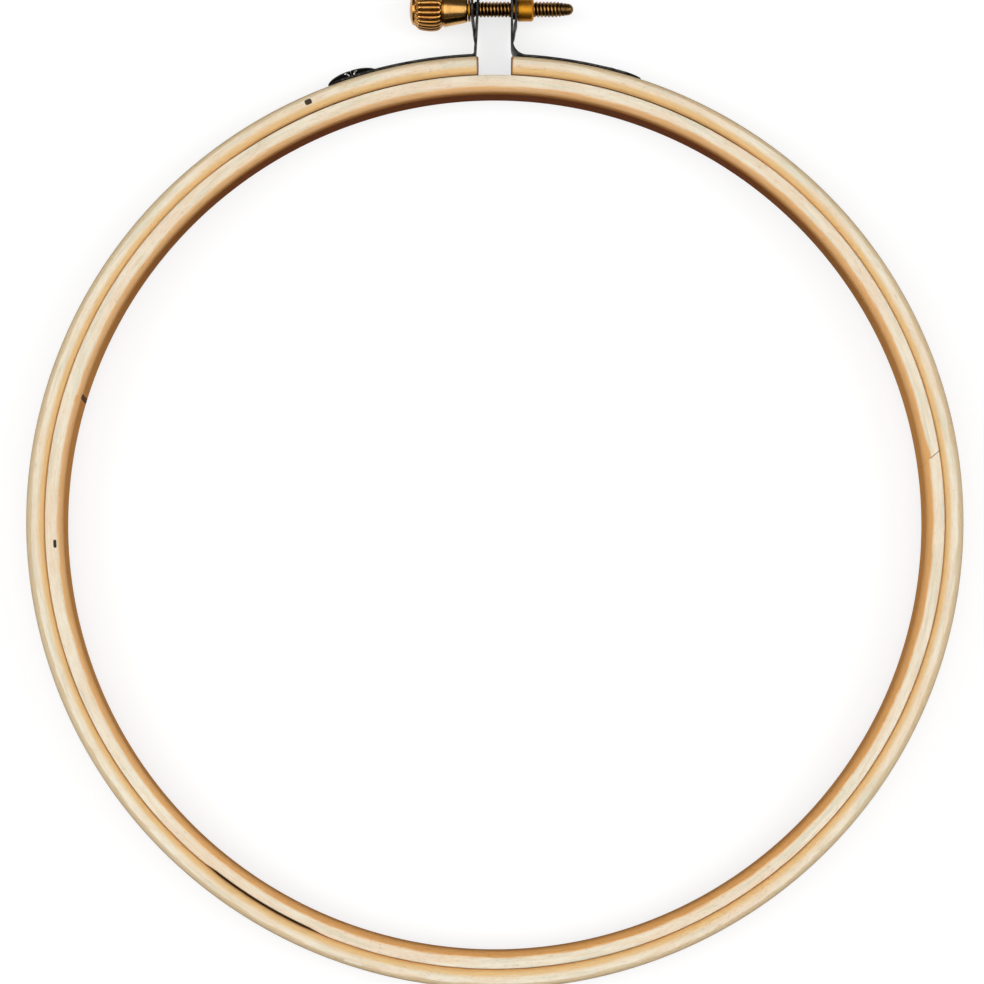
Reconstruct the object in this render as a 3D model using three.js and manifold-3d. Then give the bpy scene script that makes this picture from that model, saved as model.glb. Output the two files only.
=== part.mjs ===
// An embroidery hoop: an inner wooden ring that fits inside a split outer ring, and the screw clamp that
// draws the outer ring tight round the fabric. Millimetres, +Z up. The hoop lies flat, its screw is on the +Y
// side, and the origin is below the middle of the whole object, on the surface that the hoop lies on.
import * as THREE from "three";
import { mergeVertices } from "three/addons/utils/BufferGeometryUtils.js";
import Module from "manifold-3d";

// Rings
const HOOP_DIAMETER = 203.2; // outside of the outer ring, 8 inches
const RING_DEPTH = 10.5;
const OUTER_WALL = 4.15;
const INNER_WALL = 3.7;
const FABRIC_CLEARANCE = 0.3; // between the two rings
const EDGE_ROUND = 1.35;
const SEAM_EDGE_ROUND = 0.35; // the inner ring's outer edges are nearly sharp
const SPLIT_WIDTH = 7.2; // between the outer ring's two ends
const RING_SEGMENTS = 96;
const ROUND_STEPS = 3;

// Steel straps and the doubled ears they end in
const STRAP_WIDTH = 8;
const STRAP_THICKNESS = 0.52;
const STRAP_CLEARANCE = 0.15; // between a strap and the wood it is bent round
const STRAP_END_STEPS = 5; // in a quarter of the rounded end
const STRAP_STEP_DEGREES = 1.5;
const BEND_STEPS = 6;
const EAR_OPENING = 7.1; // between the inner faces of the ears, level with the screw
const EAR_ABOVE_SCREW = 4;
const EAR_FOLD_PINCH = 4.7; // how far below the screw the folded layer meets the first one
const EAR_FOLD_TAIL = 6.6; // how far below the screw the folded layer ends
const EAR_LAYER_SEAM = 0.06; // left between the layers where they are pinched together
// For each strap: its side, its reach round the rim in degrees, the bend at its foot, the lean of its ear,
// the hollow in its fold, and how far below the screw the folded layer stays square to it.
const LEFT_STRAP = { side: -1, arc: 21.2, bend: 0.45, lean: 3, fold: 0.68, straight: 1.2 };
const RIGHT_STRAP = { side: 1, arc: 18.5, bend: 3.1, lean: 0, fold: 0.42, straight: 2.9 };

// Split rivets and tacks that hold the straps
const RIVET_FROM_END = 5.9; // from the strap's rounded end to its rivet
const RIVET_HEAD_RADIUS = 2.4;
const RIVET_HEAD_THICKNESS = 0.7;
const RIVET_HEAD_RECESS = 0.25; // how deep the head lies below the wood's inner face
const RIVET_SHANK_RADIUS = 0.95;
const RIVET_HOLE_CLEARANCE = 0.2;
const PRONG_REACH = 5.6;
const PRONG_WIDTH = 2.4;
const PRONG_GAP = 0.15; // half the notch between the two prongs
const LEFT_PRONG_HEIGHT = 1.9;
const RIGHT_PRONG_HEIGHT = 0.8;
const TACK_FROM_MIDDLE = 12.7; // from the middle of the split, along X
const TACK_HEAD_RADIUS = 1.3;
const TACK_HEAD_THICKNESS = 0.35;
const TACK_SHANK_RADIUS = 0.5;
const TACK_POINT_LENGTH = 1;
const TACK_TIP_DEPTH = 0.9; // wood left under the tip
const TACK_HOLE_CLEARANCE = 0.15;
const FASTENER_SEGMENTS = 20;

// Screw, washer and nut
const SCREW_ABOVE_RING = 11.5; // from the outer ring's outside to the screw's axis
const THREAD_MAJOR_RADIUS = 1.752; // a standard 6-32 screw
const THREAD_PITCH = 25.4 / 32;
const THREAD_DEPTH = 0.45;
const THREAD_CLEARANCE = 0.09; // between the screw's thread and the nut's, along the radius
const THREAD_SIDES = 16;
const THREAD_IN_NECK = 1; // the threaded rod starts this far inside the neck
const THREAD_RUN_IN = 1.3; // the thread rises to its full depth over this length
const THREAD_RUN_OUT = 2.5; // and fades over this length towards the tip
const TIP_LENGTH = 1.3;
const TIP_STEPS = 3;
const STUB_LENGTH = 8.8; // how far the tip stands out of the nut
const SEAT_CLEARANCE = 0.1; // between faces that bear on each other
const NECK_LENGTH = 5.4;
const NECK_RADIUS = 3.85; // where it meets the knob
const SHOULDER_RADIUS = 2.8; // where it meets the washer
const KNOB_LENGTH = 7.4;
const KNOB_RADIUS = 4.85;
// The knob's outline from its outer end: shares of its length and radius, and of its flutes' depth.
const KNOB_OUTLINE = [
  [0, 0.4, 0],
  [0.08, 0.68, 0],
  [0.19, 0.82, 0.3],
  [0.29, 0.92, 1],
  [0.45, 0.98, 1],
  [0.6, 1, 1],
  [0.77, 0.975, 1],
  [0.89, 0.93, 1],
  [0.96, 0.87, 0.5],
  [1, 0.8, 0],
];
const FLUTE_COUNT = 23;
const FLUTE_DEPTH = 0.32;
const POINTS_PER_FLUTE = 4;
const WASHER_RADIUS = 2.65;
const WASHER_THICKNESS = 0.58;
const WASHER_BORE_CLEARANCE = 0.2;
const WASHER_EDGE_ROUND = 0.18;
const EAR_HOLE_CLEARANCE = 0.3;
const NUT_RADIUS = 2.65;
const NUT_LENGTH = 3.5;
const NUT_CHAMFER = 0.35;
const SPIGOT_WALL = 0.42; // round the screw, inside the right ear
const SPIGOT_CLEARANCE = 0.1;
const TURNED_SEGMENTS = 32;

// Places and fits worked out from the sizes above
const outerRadius = HOOP_DIAMETER / 2;
const seamRadius = outerRadius - OUTER_WALL;
const innerRingRadius = seamRadius - FABRIC_CLEARANCE;
const openingRadius = innerRingRadius - INNER_WALL;
const middleHeight = RING_DEPTH / 2;
const strapRadius = outerRadius + STRAP_CLEARANCE;
const screwHeight = outerRadius + SCREW_ABOVE_RING; // along Y from the ring's centre
const topHeight = screwHeight + Math.max(KNOB_RADIUS, EAR_ABOVE_SCREW);
const ringCentreY = (outerRadius - topHeight) / 2;
const threadHoleRadius = THREAD_MAJOR_RADIUS + THREAD_CLEARANCE;
const spigotRadius = threadHoleRadius + SPIGOT_WALL;
const earReach = (strap) => EAR_OPENING / 2 + 2 * STRAP_THICKNESS + strap.fold; // to an ear's outer face
const washerFace = -earReach(LEFT_STRAP) - SEAT_CLEARANCE;
const shoulderFace = washerFace - WASHER_THICKNESS - SEAT_CLEARANCE;
const nutFace = earReach(RIGHT_STRAP) + SEAT_CLEARANCE;
const shankLength = nutFace + NUT_LENGTH + STUB_LENGTH - shoulderFace;

const wasm = await Module();
wasm.setup();

const WELD_DISTANCE = 1e-4;
const MARGIN = 2; // how far a cutting tool stands out of what it cuts

// Welds loose triangles, three points each, into one closed surface whose faces point out.
function closedSurface(corners) {
  const loose = new THREE.BufferGeometry().setFromPoints(corners);
  const welded = mergeVertices(loose, WELD_DISTANCE);
  const points = welded.getAttribute("position");
  const faces = [];
  for (let i = 0; i < corners.length; i += 3) {
    const face = [0, 1, 2].map((k) => welded.index.getX(i + k));
    if (new Set(face).size === 3) faces.push(face);
  }
  const corner = (index) => new THREE.Vector3().fromBufferAttribute(points, index);
  const volume = faces.reduce((sum, [a, b, c]) => sum + corner(a).dot(corner(b).cross(corner(c))), 0);
  const outward = volume < 0 ? faces.map(([a, b, c]) => [a, c, b]) : faces;
  welded.setIndex(outward.flat());
  return welded;
}

// A closed surface through sections that all have the same number of points, with both ends capped.
function loft(sections) {
  const corners = [];
  const cap = (section, flipped) => {
    const middle = section.reduce((sum, point) => sum.add(point), new THREE.Vector3());
    middle.divideScalar(section.length);
    section.forEach((point, i) => {
      const next = section[(i + 1) % section.length];
      corners.push(middle, flipped ? next : point, flipped ? point : next);
    });
  };
  for (let s = 1; s < sections.length; s += 1) {
    sections[s].forEach((point, i) => {
      const next = (i + 1) % sections[s].length;
      corners.push(sections[s - 1][i], sections[s - 1][next], sections[s][next]);
      corners.push(sections[s - 1][i], sections[s][next], point);
    });
  }
  cap(sections[0], true);
  cap(sections.at(-1), false);
  return closedSurface(corners);
}

// A geometry as a solid that can be cut and joined, moved by an optional matrix.
function solid(geometry, matrix = new THREE.Matrix4()) {
  const bare = geometry.clone();
  bare.deleteAttribute("normal");
  bare.deleteAttribute("uv");
  const welded = mergeVertices(bare, WELD_DISTANCE).applyMatrix4(matrix);
  const vertProperties = new Float32Array(welded.getAttribute("position").array);
  const triVerts = new Uint32Array(welded.index.array);
  return new wasm.Manifold(new wasm.Mesh({ numProp: 3, vertProperties, triVerts }));
}

function geometryOf(made) {
  const { vertProperties, triVerts } = made.getMesh();
  const geometry = new THREE.BufferGeometry();
  geometry.setAttribute("position", new THREE.BufferAttribute(vertProperties, 3));
  geometry.setIndex(new THREE.BufferAttribute(triVerts, 1));
  geometry.computeVertexNormals();
  return geometry;
}

// A solid of revolution about Z through [radius, height] points.
function turned(profile, segments) {
  const points = profile.map(([radius, height]) => new THREE.Vector2(radius, height));
  return new THREE.LatheGeometry(points, segments).rotateX(Math.PI / 2);
}

function cylinder(radius, from, to, segments = FASTENER_SEGMENTS) {
  return turned([[0, from], [radius, from], [radius, to], [0, to]], segments);
}

// A closed profile of a ring's wall, from the inside out, with its four edges rounded.
function wallProfile(inside, outside, insideRound, outsideRound) {
  const limit = Math.min((outside - inside) / 2, RING_DEPTH / 2) * 0.95;
  const corners = [
    [outside, 0, Math.min(outsideRound, limit), -90, -1, 1],
    [outside, RING_DEPTH, Math.min(outsideRound, limit), 0, -1, -1],
    [inside, RING_DEPTH, Math.min(insideRound, limit), 90, 1, -1],
    [inside, 0, Math.min(insideRound, limit), 180, 1, 1],
  ];
  const points = corners.flatMap(([radius, height, round, start, inward, upward]) =>
    Array.from({ length: ROUND_STEPS + 1 }, (_, step) => {
      const angle = THREE.MathUtils.degToRad(start + (90 * step) / ROUND_STEPS);
      return [
        radius + round * (inward + Math.cos(angle)),
        height + round * (upward + Math.sin(angle)),
      ];
    }),
  );
  return [...points, points[0]];
}

// The frame of something fastened to the wood's outside: X along the rim, Y up, Z outwards.
function placeOnRim(degrees) {
  const angle = THREE.MathUtils.degToRad(degrees);
  const outwards = new THREE.Vector3(Math.cos(angle), Math.sin(angle), 0);
  const along = new THREE.Vector3(-Math.sin(angle), Math.cos(angle), 0);
  const up = new THREE.Vector3(0, 0, 1);
  const place = outwards.clone().multiplyScalar(outerRadius).setZ(middleHeight);
  return new THREE.Matrix4().makeBasis(along, up, outwards).setPosition(place);
}

const rimDegrees = (length) => THREE.MathUtils.radToDeg(length / outerRadius);
const rivetDegrees = ({ side, arc }) => 90 - side * (arc - rimDegrees(RIVET_FROM_END));
const tackDegrees = ({ side }) =>
  90 - side * THREE.MathUtils.radToDeg(Math.asin(TACK_FROM_MIDDLE / outerRadius));

// The frame of the screw: Z along its axis towards the tip, from the shoulder that bears on the washer.
const screwFrame = new THREE.Matrix4()
  .makeTranslation(shoulderFace, screwHeight, middleHeight)
  .multiply(new THREE.Matrix4().makeRotationY(Math.PI / 2));

// Split rivet: a flat head in the wood, a shank, and two prongs bent down along the strap.
const strapTop = STRAP_CLEARANCE + STRAP_THICKNESS;
const prongBase = strapTop + SEAT_CLEARANCE;

function prong(side, height) {
  const along = (distance) => side * distance;
  const reach = PRONG_REACH;
  const outline = new THREE.Shape();
  outline.moveTo(along(PRONG_GAP), prongBase);
  outline.lineTo(along(PRONG_GAP), prongBase + 0.4 * height);
  outline.bezierCurveTo(
    along(0.06 * reach), prongBase + height,
    along(0.3 * reach), prongBase + 1.15 * height,
    along(0.62 * reach), prongBase + 0.72 * height,
  );
  outline.quadraticCurveTo(
    along(0.85 * reach), prongBase + 0.45 * height,
    along(reach), prongBase + 0.12 * height,
  );
  outline.lineTo(along(reach), prongBase);
  outline.closePath();
  const flat = { depth: PRONG_WIDTH, bevelEnabled: false, curveSegments: 5 };
  return new THREE.ExtrudeGeometry(outline, flat).translate(0, 0, -PRONG_WIDTH / 2).rotateX(Math.PI / 2);
}

function rivet(prongHeight) {
  const headFrom = RIVET_HEAD_RECESS - OUTER_WALL;
  const shankTo = prongBase + 0.25 * prongHeight;
  const made = solid(cylinder(RIVET_HEAD_RADIUS, headFrom, headFrom + RIVET_HEAD_THICKNESS))
    .add(solid(cylinder(RIVET_SHANK_RADIUS, headFrom, shankTo)))
    .add(solid(prong(-1, prongHeight)))
    .add(solid(prong(1, prongHeight)));
  return geometryOf(made);
}

// The room that a rivet needs in the wood and the strap.
function rivetHole() {
  const headTo = RIVET_HEAD_RECESS + RIVET_HEAD_THICKNESS + RIVET_HOLE_CLEARANCE - OUTER_WALL;
  const headRadius = RIVET_HEAD_RADIUS + RIVET_HOLE_CLEARANCE;
  const shankRadius = RIVET_SHANK_RADIUS + RIVET_HOLE_CLEARANCE;
  const inside = -OUTER_WALL - MARGIN;
  const outside = strapTop + MARGIN;
  const profile = [[0, inside], [headRadius, inside], [headRadius, headTo], [shankRadius, headTo]];
  return turned([...profile, [shankRadius, outside], [0, outside]], FASTENER_SEGMENTS);
}

// Tack: a low domed head on the strap and a pointed shank in the wood.
const tackTip = TACK_TIP_DEPTH - OUTER_WALL;

function tack() {
  const head = strapTop + SEAT_CLEARANCE;
  return turned(
    [
      [0, tackTip],
      [TACK_SHANK_RADIUS, tackTip + TACK_POINT_LENGTH],
      [TACK_SHANK_RADIUS, head],
      [TACK_HEAD_RADIUS, head],
      [TACK_HEAD_RADIUS, head + 0.4 * TACK_HEAD_THICKNESS],
      [0.7 * TACK_HEAD_RADIUS, head + 0.85 * TACK_HEAD_THICKNESS],
      [0, head + TACK_HEAD_THICKNESS],
    ],
    FASTENER_SEGMENTS,
  );
}

const tackHole = () =>
  cylinder(TACK_SHANK_RADIUS + TACK_HOLE_CLEARANCE, tackTip - TACK_HOLE_CLEARANCE, strapTop + MARGIN);

const withFastenerHoles = (made, strap) =>
  made
    .subtract(solid(rivetHole(), placeOnRim(rivetDegrees(strap))))
    .subtract(solid(tackHole(), placeOnRim(tackDegrees(strap))));

// Outer ring: cut through at the top, with the holes of its rivets and tacks.
function outerRing() {
  const ring = turned(wallProfile(seamRadius, outerRadius, EDGE_ROUND, EDGE_ROUND), RING_SEGMENTS);
  const reach = OUTER_WALL + 2 * MARGIN;
  const split = new THREE.BoxGeometry(SPLIT_WIDTH, reach, RING_DEPTH + 2 * MARGIN);
  split.translate(0, (seamRadius + outerRadius) / 2, middleHeight);
  return [LEFT_STRAP, RIGHT_STRAP].reduce(withFastenerHoles, solid(ring).subtract(solid(split)));
}

const innerRing = () =>
  turned(wallProfile(openingRadius, innerRingRadius, EDGE_ROUND, SEAM_EDGE_ROUND), RING_SEGMENTS);

// The line of a strap's wood side, seen along Z and drawn for the right-hand side: round the rim, up the ear,
// over the fold and down again. Each point is [x, y]; the metal lies on the right of the line.
function strapLine({ arc, bend, lean, fold, straight }) {
  const { degToRad } = THREE.MathUtils;
  const tilt = degToRad(lean);
  const start = new THREE.Vector2(EAR_OPENING / 2, screwHeight); // on the ear's inner face
  const rise = new THREE.Vector2(-Math.sin(tilt), Math.cos(tilt));
  const away = new THREE.Vector2(Math.cos(tilt), Math.sin(tilt));
  const onEar = (distance, height) =>
    start.clone().addScaledVector(away, distance).addScaledVector(rise, height);
  const arcPoints = (centre, radius, from, to, steps) =>
    Array.from({ length: steps + 1 }, (_, i) => {
      const angle = from + ((to - from) * i) / steps;
      return [centre.x + radius * Math.cos(angle), centre.y + radius * Math.sin(angle)];
    });

  // The foot is an arc that touches both the rim and the ear's inner face.
  const footRadius = bend + STRAP_THICKNESS;
  const level = onEar(footRadius, 0);
  const slope = level.dot(rise);
  const below = level.lengthSq() - (strapRadius + footRadius) ** 2;
  const foot = level.clone().addScaledVector(rise, -slope + Math.sqrt(slope ** 2 - below));
  const rimEnd = Math.atan2(foot.y, foot.x);
  const rimStart = degToRad(90 - arc);
  const straightStart = rimStart + STRAP_WIDTH / 2 / strapRadius;
  const rimSteps = Math.max(2, Math.round((rimEnd - straightStart) / degToRad(STRAP_STEP_DEGREES)));

  // The fold touches the ear's inner face, the outer face and the top.
  const width = earReach({ fold }) - EAR_OPENING / 2;
  const share = 1 + Math.cos(tilt) + Math.sin(tilt);
  const foldRadius = (width * Math.cos(tilt) + EAR_ABOVE_SCREW * Math.sin(tilt)) / share;
  const foldCentre = new THREE.Vector2(
    EAR_OPENING / 2 + width - foldRadius,
    screwHeight + EAR_ABOVE_SCREW - foldRadius,
  );
  const doubled = 2 * STRAP_THICKNESS + EAR_LAYER_SEAM;
  const outerFace = EAR_OPENING / 2 + width;
  return [
    ...endPoints(rimStart),
    ...arcPoints(new THREE.Vector2(), strapRadius, straightStart, rimEnd, rimSteps).slice(1),
    ...arcPoints(foot, footRadius, rimEnd - Math.PI, -Math.PI + tilt, BEND_STEPS).slice(1),
    ...arcPoints(foldCentre, foldRadius, Math.PI + tilt, 0, BEND_STEPS),
    [outerFace, screwHeight - straight],
    onEar(doubled, -EAR_FOLD_PINCH).toArray(),
    onEar(doubled, -EAR_FOLD_TAIL).toArray(),
  ];
}

// Closely spaced points where the strap's far end is rounded, each with the half width it has there.
function endPoints(rimStart) {
  const half = STRAP_WIDTH / 2;
  return Array.from({ length: STRAP_END_STEPS + 1 }, (_, i) => {
    const turn = THREE.MathUtils.degToRad(78 - (78 * i) / STRAP_END_STEPS);
    const angle = rimStart + (half * (1 - Math.sin(turn))) / strapRadius;
    return [strapRadius * Math.cos(angle), strapRadius * Math.sin(angle), half * Math.cos(turn)];
  });
}

// Bracket: the strap and its ear are one bent strip, with holes for the rivet, the tack and the screw.
function bracket(strap, screwHoleRadius) {
  const line = strapLine(strap).map(([x, y, half = STRAP_WIDTH / 2]) => ({
    point: new THREE.Vector2(x, y),
    half,
  }));
  const sections = line.map(({ point, half }, i) => {
    const ahead = (from, to) => line[to].point.clone().sub(line[from].point).normalize();
    const before = i > 0 ? ahead(i - 1, i) : ahead(0, 1);
    const after = i < line.length - 1 ? ahead(i, i + 1) : before;
    const along = before.clone().add(after).normalize();
    const across = new THREE.Vector2(along.y, -along.x).multiplyScalar(STRAP_THICKNESS / along.dot(before));
    const other = point.clone().add(across);
    return [
      [point, -half],
      [point, half],
      [other, half],
      [other, -half],
    ].map(([{ x, y }, z]) => new THREE.Vector3(strap.side * x, y, middleHeight + z));
  });
  const near = strap.side * (EAR_OPENING / 2 - MARGIN) - shoulderFace;
  const far = strap.side * (earReach(strap) + MARGIN) - shoulderFace;
  const screwHole = cylinder(screwHoleRadius, Math.min(near, far), Math.max(near, far), TURNED_SEGMENTS);
  return withFastenerHoles(solid(loft(sections)).subtract(solid(screwHole, screwFrame)), strap);
}

// A rod with a right-hand thread along Z and a rounded tip, thicker than the screw by grow. Its points run
// along the helix, crest and root in turn, and those past either end are drawn back to that end.
function threadedRod(from, to, grow, runIn, runOut) {
  const crest = THREAD_MAJOR_RADIUS + grow;
  const root = crest - THREAD_DEPTH;
  const ring = (radius, height, side) => {
    const angle = (2 * Math.PI * (side % THREAD_SIDES)) / THREAD_SIDES;
    return new THREE.Vector3(radius * Math.cos(angle), radius * Math.sin(angle), height);
  };
  const onHelix = (row, side) => {
    const height = (row / 2 + side / THREAD_SIDES) * THREAD_PITCH;
    if (height <= from || height >= to) return ring(root, height <= from ? from : to, side);
    const rise = Math.min(1, (height - from) / runIn, (to - height) / runOut);
    return ring(row % 2 === 0 ? root + THREAD_DEPTH * rise : root, height, side);
  };
  const onTip = (row, side) => {
    const turn = (Math.PI / 2) * (row / TIP_STEPS);
    return ring(row === TIP_STEPS ? 0 : root * Math.cos(turn), to + TIP_LENGTH * Math.sin(turn), side);
  };
  const corners = [];
  const cover = (at, firstRow, lastRow) => {
    for (let row = firstRow; row < lastRow; row += 1) {
      for (let side = 0; side < THREAD_SIDES; side += 1) {
        const square = [at(row, side), at(row, side + 1), at(row + 1, side + 1), at(row + 1, side)];
        corners.push(square[0], square[1], square[2], square[0], square[2], square[3]);
      }
    }
  };
  cover(onHelix, Math.floor((2 * from) / THREAD_PITCH) - 2, Math.ceil((2 * to) / THREAD_PITCH));
  cover(onTip, 0, TIP_STEPS);
  for (let side = 0; side < THREAD_SIDES; side += 1) {
    corners.push(new THREE.Vector3(0, 0, from), ring(root, from, side + 1), ring(root, from, side));
  }
  return closedSurface(corners);
}

// Fluted knob, lofted from its outer end to the neck. One flute faces straight up.
function knob() {
  const points = FLUTE_COUNT * POINTS_PER_FLUTE;
  const sections = KNOB_OUTLINE.map(([length, size, flutes]) =>
    Array.from({ length: points }, (_, i) => {
      const phase = i / POINTS_PER_FLUTE;
      const hollow = FLUTE_DEPTH * flutes * (1 - Math.sqrt(Math.abs(Math.sin(Math.PI * phase))));
      const radius = KNOB_RADIUS * size - hollow;
      const angle = Math.PI + (2 * Math.PI * i) / points;
      const height = -NECK_LENGTH - KNOB_LENGTH * (1 - length);
      return new THREE.Vector3(radius * Math.cos(angle), radius * Math.sin(angle), height);
    }),
  );
  return loft(sections);
}

// Thumbscrew: fluted knob, tapered neck and threaded shank, turned from one bar.
function thumbscrew() {
  const overlap = 0.04 * KNOB_LENGTH;
  const neck = [
    [0, -NECK_LENGTH - overlap],
    [NECK_RADIUS, -NECK_LENGTH - overlap],
    [NECK_RADIUS, -NECK_LENGTH],
    [SHOULDER_RADIUS, 0],
    [0, 0],
  ];
  const shank = threadedRod(-THREAD_IN_NECK, shankLength - TIP_LENGTH, 0, THREAD_RUN_IN, THREAD_RUN_OUT);
  return solid(knob())
    .add(solid(turned(neck, TURNED_SEGMENTS)))
    .add(solid(shank));
}

// Washer between the shoulder and the left ear, with rounded edges.
function washer() {
  const bore = THREAD_MAJOR_RADIUS + WASHER_BORE_CLEARANCE;
  const from = SEAT_CLEARANCE;
  const to = from + WASHER_THICKNESS;
  const profile = [
    [bore, from],
    [WASHER_RADIUS - WASHER_EDGE_ROUND, from],
    [WASHER_RADIUS, from + WASHER_EDGE_ROUND],
    [WASHER_RADIUS, to - WASHER_EDGE_ROUND],
    [WASHER_RADIUS - WASHER_EDGE_ROUND, to],
    [bore, to],
    [bore, from],
  ];
  return turned(profile, TURNED_SEGMENTS);
}

// Round nut outside the right ear, its threaded spigot fixed in the ear's hole.
function barrelNut() {
  const spigotFrom = EAR_OPENING / 2 - shoulderFace;
  const flange = nutFace - shoulderFace;
  const end = flange + NUT_LENGTH;
  const blank = [
    [0, spigotFrom],
    [spigotRadius, spigotFrom],
    [spigotRadius, flange],
    [NUT_RADIUS, flange],
    [NUT_RADIUS, end - NUT_CHAMFER],
    [NUT_RADIUS - NUT_CHAMFER, end],
    [0, end],
  ];
  const reach = MARGIN + THREAD_RUN_OUT;
  const tap = threadedRod(spigotFrom - reach, end + reach, THREAD_CLEARANCE, THREAD_RUN_IN, THREAD_RUN_OUT);
  return solid(turned(blank, TURNED_SEGMENTS)).subtract(solid(tap));
}

// Finishes
const finish = (color, roughness, metalness) =>
  new THREE.MeshStandardMaterial({ color, roughness, metalness });
const outerWood = finish(0xe6cda0, 0.62, 0);
const innerWood = finish(0xe2c596, 0.6, 0);
const darkSteel = finish(0x3d3d3e, 0.38, 0.9);
const brass = finish(0xc48a2c, 0.28, 1);

function named(name, geometry, material) {
  const mesh = new THREE.Mesh(geometry, material);
  mesh.name = name;
  return mesh;
}

function fastenedOnRim(degrees, mesh) {
  const place = new THREE.Group();
  place.applyMatrix4(placeOnRim(degrees));
  place.add(mesh);
  return place;
}

// Assembly
const leftHoleRadius = THREAD_MAJOR_RADIUS + EAR_HOLE_CLEARANCE;
const rightHoleRadius = spigotRadius + SPIGOT_CLEARANCE;

const screwLine = new THREE.Group();
screwLine.applyMatrix4(screwFrame);
screwLine.add(
  named("thumbscrew", geometryOf(thumbscrew()), brass),
  named("washer", washer(), brass),
  named("barrel_nut", geometryOf(barrelNut()), brass),
);

const hoop = new THREE.Group();
hoop.position.y = ringCentreY;
hoop.add(
  named("outer_ring", geometryOf(outerRing()), outerWood),
  named("inner_ring", innerRing(), innerWood),
  named("left_bracket", geometryOf(bracket(LEFT_STRAP, leftHoleRadius)), darkSteel),
  named("right_bracket", geometryOf(bracket(RIGHT_STRAP, rightHoleRadius)), darkSteel),
  fastenedOnRim(rivetDegrees(LEFT_STRAP), named("left_rivet", rivet(LEFT_PRONG_HEIGHT), darkSteel)),
  fastenedOnRim(rivetDegrees(RIGHT_STRAP), named("right_rivet", rivet(RIGHT_PRONG_HEIGHT), darkSteel)),
  fastenedOnRim(tackDegrees(LEFT_STRAP), named("left_tack", tack(), darkSteel)),
  fastenedOnRim(tackDegrees(RIGHT_STRAP), named("right_tack", tack(), darkSteel)),
  screwLine,
);

const part = new THREE.Group();
part.add(hoop);

export default part;
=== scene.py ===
"""A wooden embroidery hoop: an inner ring of bent wood inside a split outer ring, which a brass thumbscrew
draws tight through the folded ears of two steel straps. Everything is in metres, in the model's frame."""

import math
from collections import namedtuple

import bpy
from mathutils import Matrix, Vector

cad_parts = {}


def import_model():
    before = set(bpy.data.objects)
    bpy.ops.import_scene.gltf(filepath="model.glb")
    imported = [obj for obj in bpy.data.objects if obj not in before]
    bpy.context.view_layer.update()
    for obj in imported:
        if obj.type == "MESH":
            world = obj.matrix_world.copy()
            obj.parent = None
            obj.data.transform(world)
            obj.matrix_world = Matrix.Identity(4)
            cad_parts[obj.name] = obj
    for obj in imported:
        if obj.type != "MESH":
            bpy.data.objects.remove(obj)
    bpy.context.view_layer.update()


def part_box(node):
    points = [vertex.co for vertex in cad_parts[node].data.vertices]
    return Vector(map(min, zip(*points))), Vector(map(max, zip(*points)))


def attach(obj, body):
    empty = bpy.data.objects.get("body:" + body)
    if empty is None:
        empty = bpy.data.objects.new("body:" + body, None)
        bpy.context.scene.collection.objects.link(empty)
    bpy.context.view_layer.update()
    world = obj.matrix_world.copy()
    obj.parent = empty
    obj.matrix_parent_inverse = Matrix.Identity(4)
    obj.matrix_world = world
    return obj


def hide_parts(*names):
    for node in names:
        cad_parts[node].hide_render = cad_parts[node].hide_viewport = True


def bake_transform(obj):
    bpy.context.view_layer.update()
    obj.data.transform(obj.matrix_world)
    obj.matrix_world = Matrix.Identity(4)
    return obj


bl_info = {
    "name": "Embroidery Hoop",
    "version": (1, 0, 0),
    "blender": (4, 5, 0),
    "location": "View3D > Sidebar > Hoop",
    "description": "Makes a wooden embroidery hoop with its screw clamp, and a plain stage for it",
    "category": "Object",
}

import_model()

MM = 0.001
TURN = 2 * math.pi

# Sizes and places taken from the frame
ring_low, ring_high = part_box("outer_ring")
inner_low, inner_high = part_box("inner_ring")
washer_low, washer_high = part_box("washer")
nut_low, nut_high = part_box("barrel_nut")
screw_low, screw_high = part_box("thumbscrew")
OUTER_RADIUS = (ring_high.x - ring_low.x) / 2
INNER_RING_RADIUS = (inner_high.x - inner_low.x) / 2
RING_DEPTH = ring_high.z - ring_low.z
RING_CENTRE = Vector((0, ring_low.y + OUTER_RADIUS, RING_DEPTH / 2))
SCREW_AXIS = Vector((0, (washer_low.y + washer_high.y) / 2, (washer_low.z + washer_high.z) / 2))

# Rings
WOOD_STEPS = 360
EDGE_STEPS = 7
EDGE_SUPPORT = 0.22 * MM  # from the end of a rounded edge to the next line of points on the flat
SPLIT_EASE = 0.35 * MM  # how far the cut ends' edges are sanded
JOINT_EASE = 0.05 * MM
END_ROUNDING = (0, 0.12, 0.35, 0.65, 1)  # where the eased ends have points, as shares of their ease
OUTER_START_DEGREES = -90  # the middle of the outer ring's strip lies opposite the split
JOINT_GAP = 0.02 * MM  # the glue line of the inner ring's scarf joint
JOINT_DEGREES = 7.45
JOINT_SLOPE = 0.7  # how far the scarf runs along the ring for its way across the wall
SLOPE_FADE = 9 * MM

# Where the rings stand apart: the middle and half the width in degrees, how far they part as a share of the
# usual swelling, and how deep the painted shade on the seam's faces reaches in millimetres
Window = namedtuple("Window", "middle half_width parting stain")
WINDOWS = (Window(90, 36, 1, 0.08), Window(239, 8, 1.25, 0.24))
# Where a window begins and where it is whole, as shares of half its width, for the parting and for the
# painted shade
PARTING_BETWEEN = (1.15, 0.85)
SHADE_BETWEEN = (1, 0.75)

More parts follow.
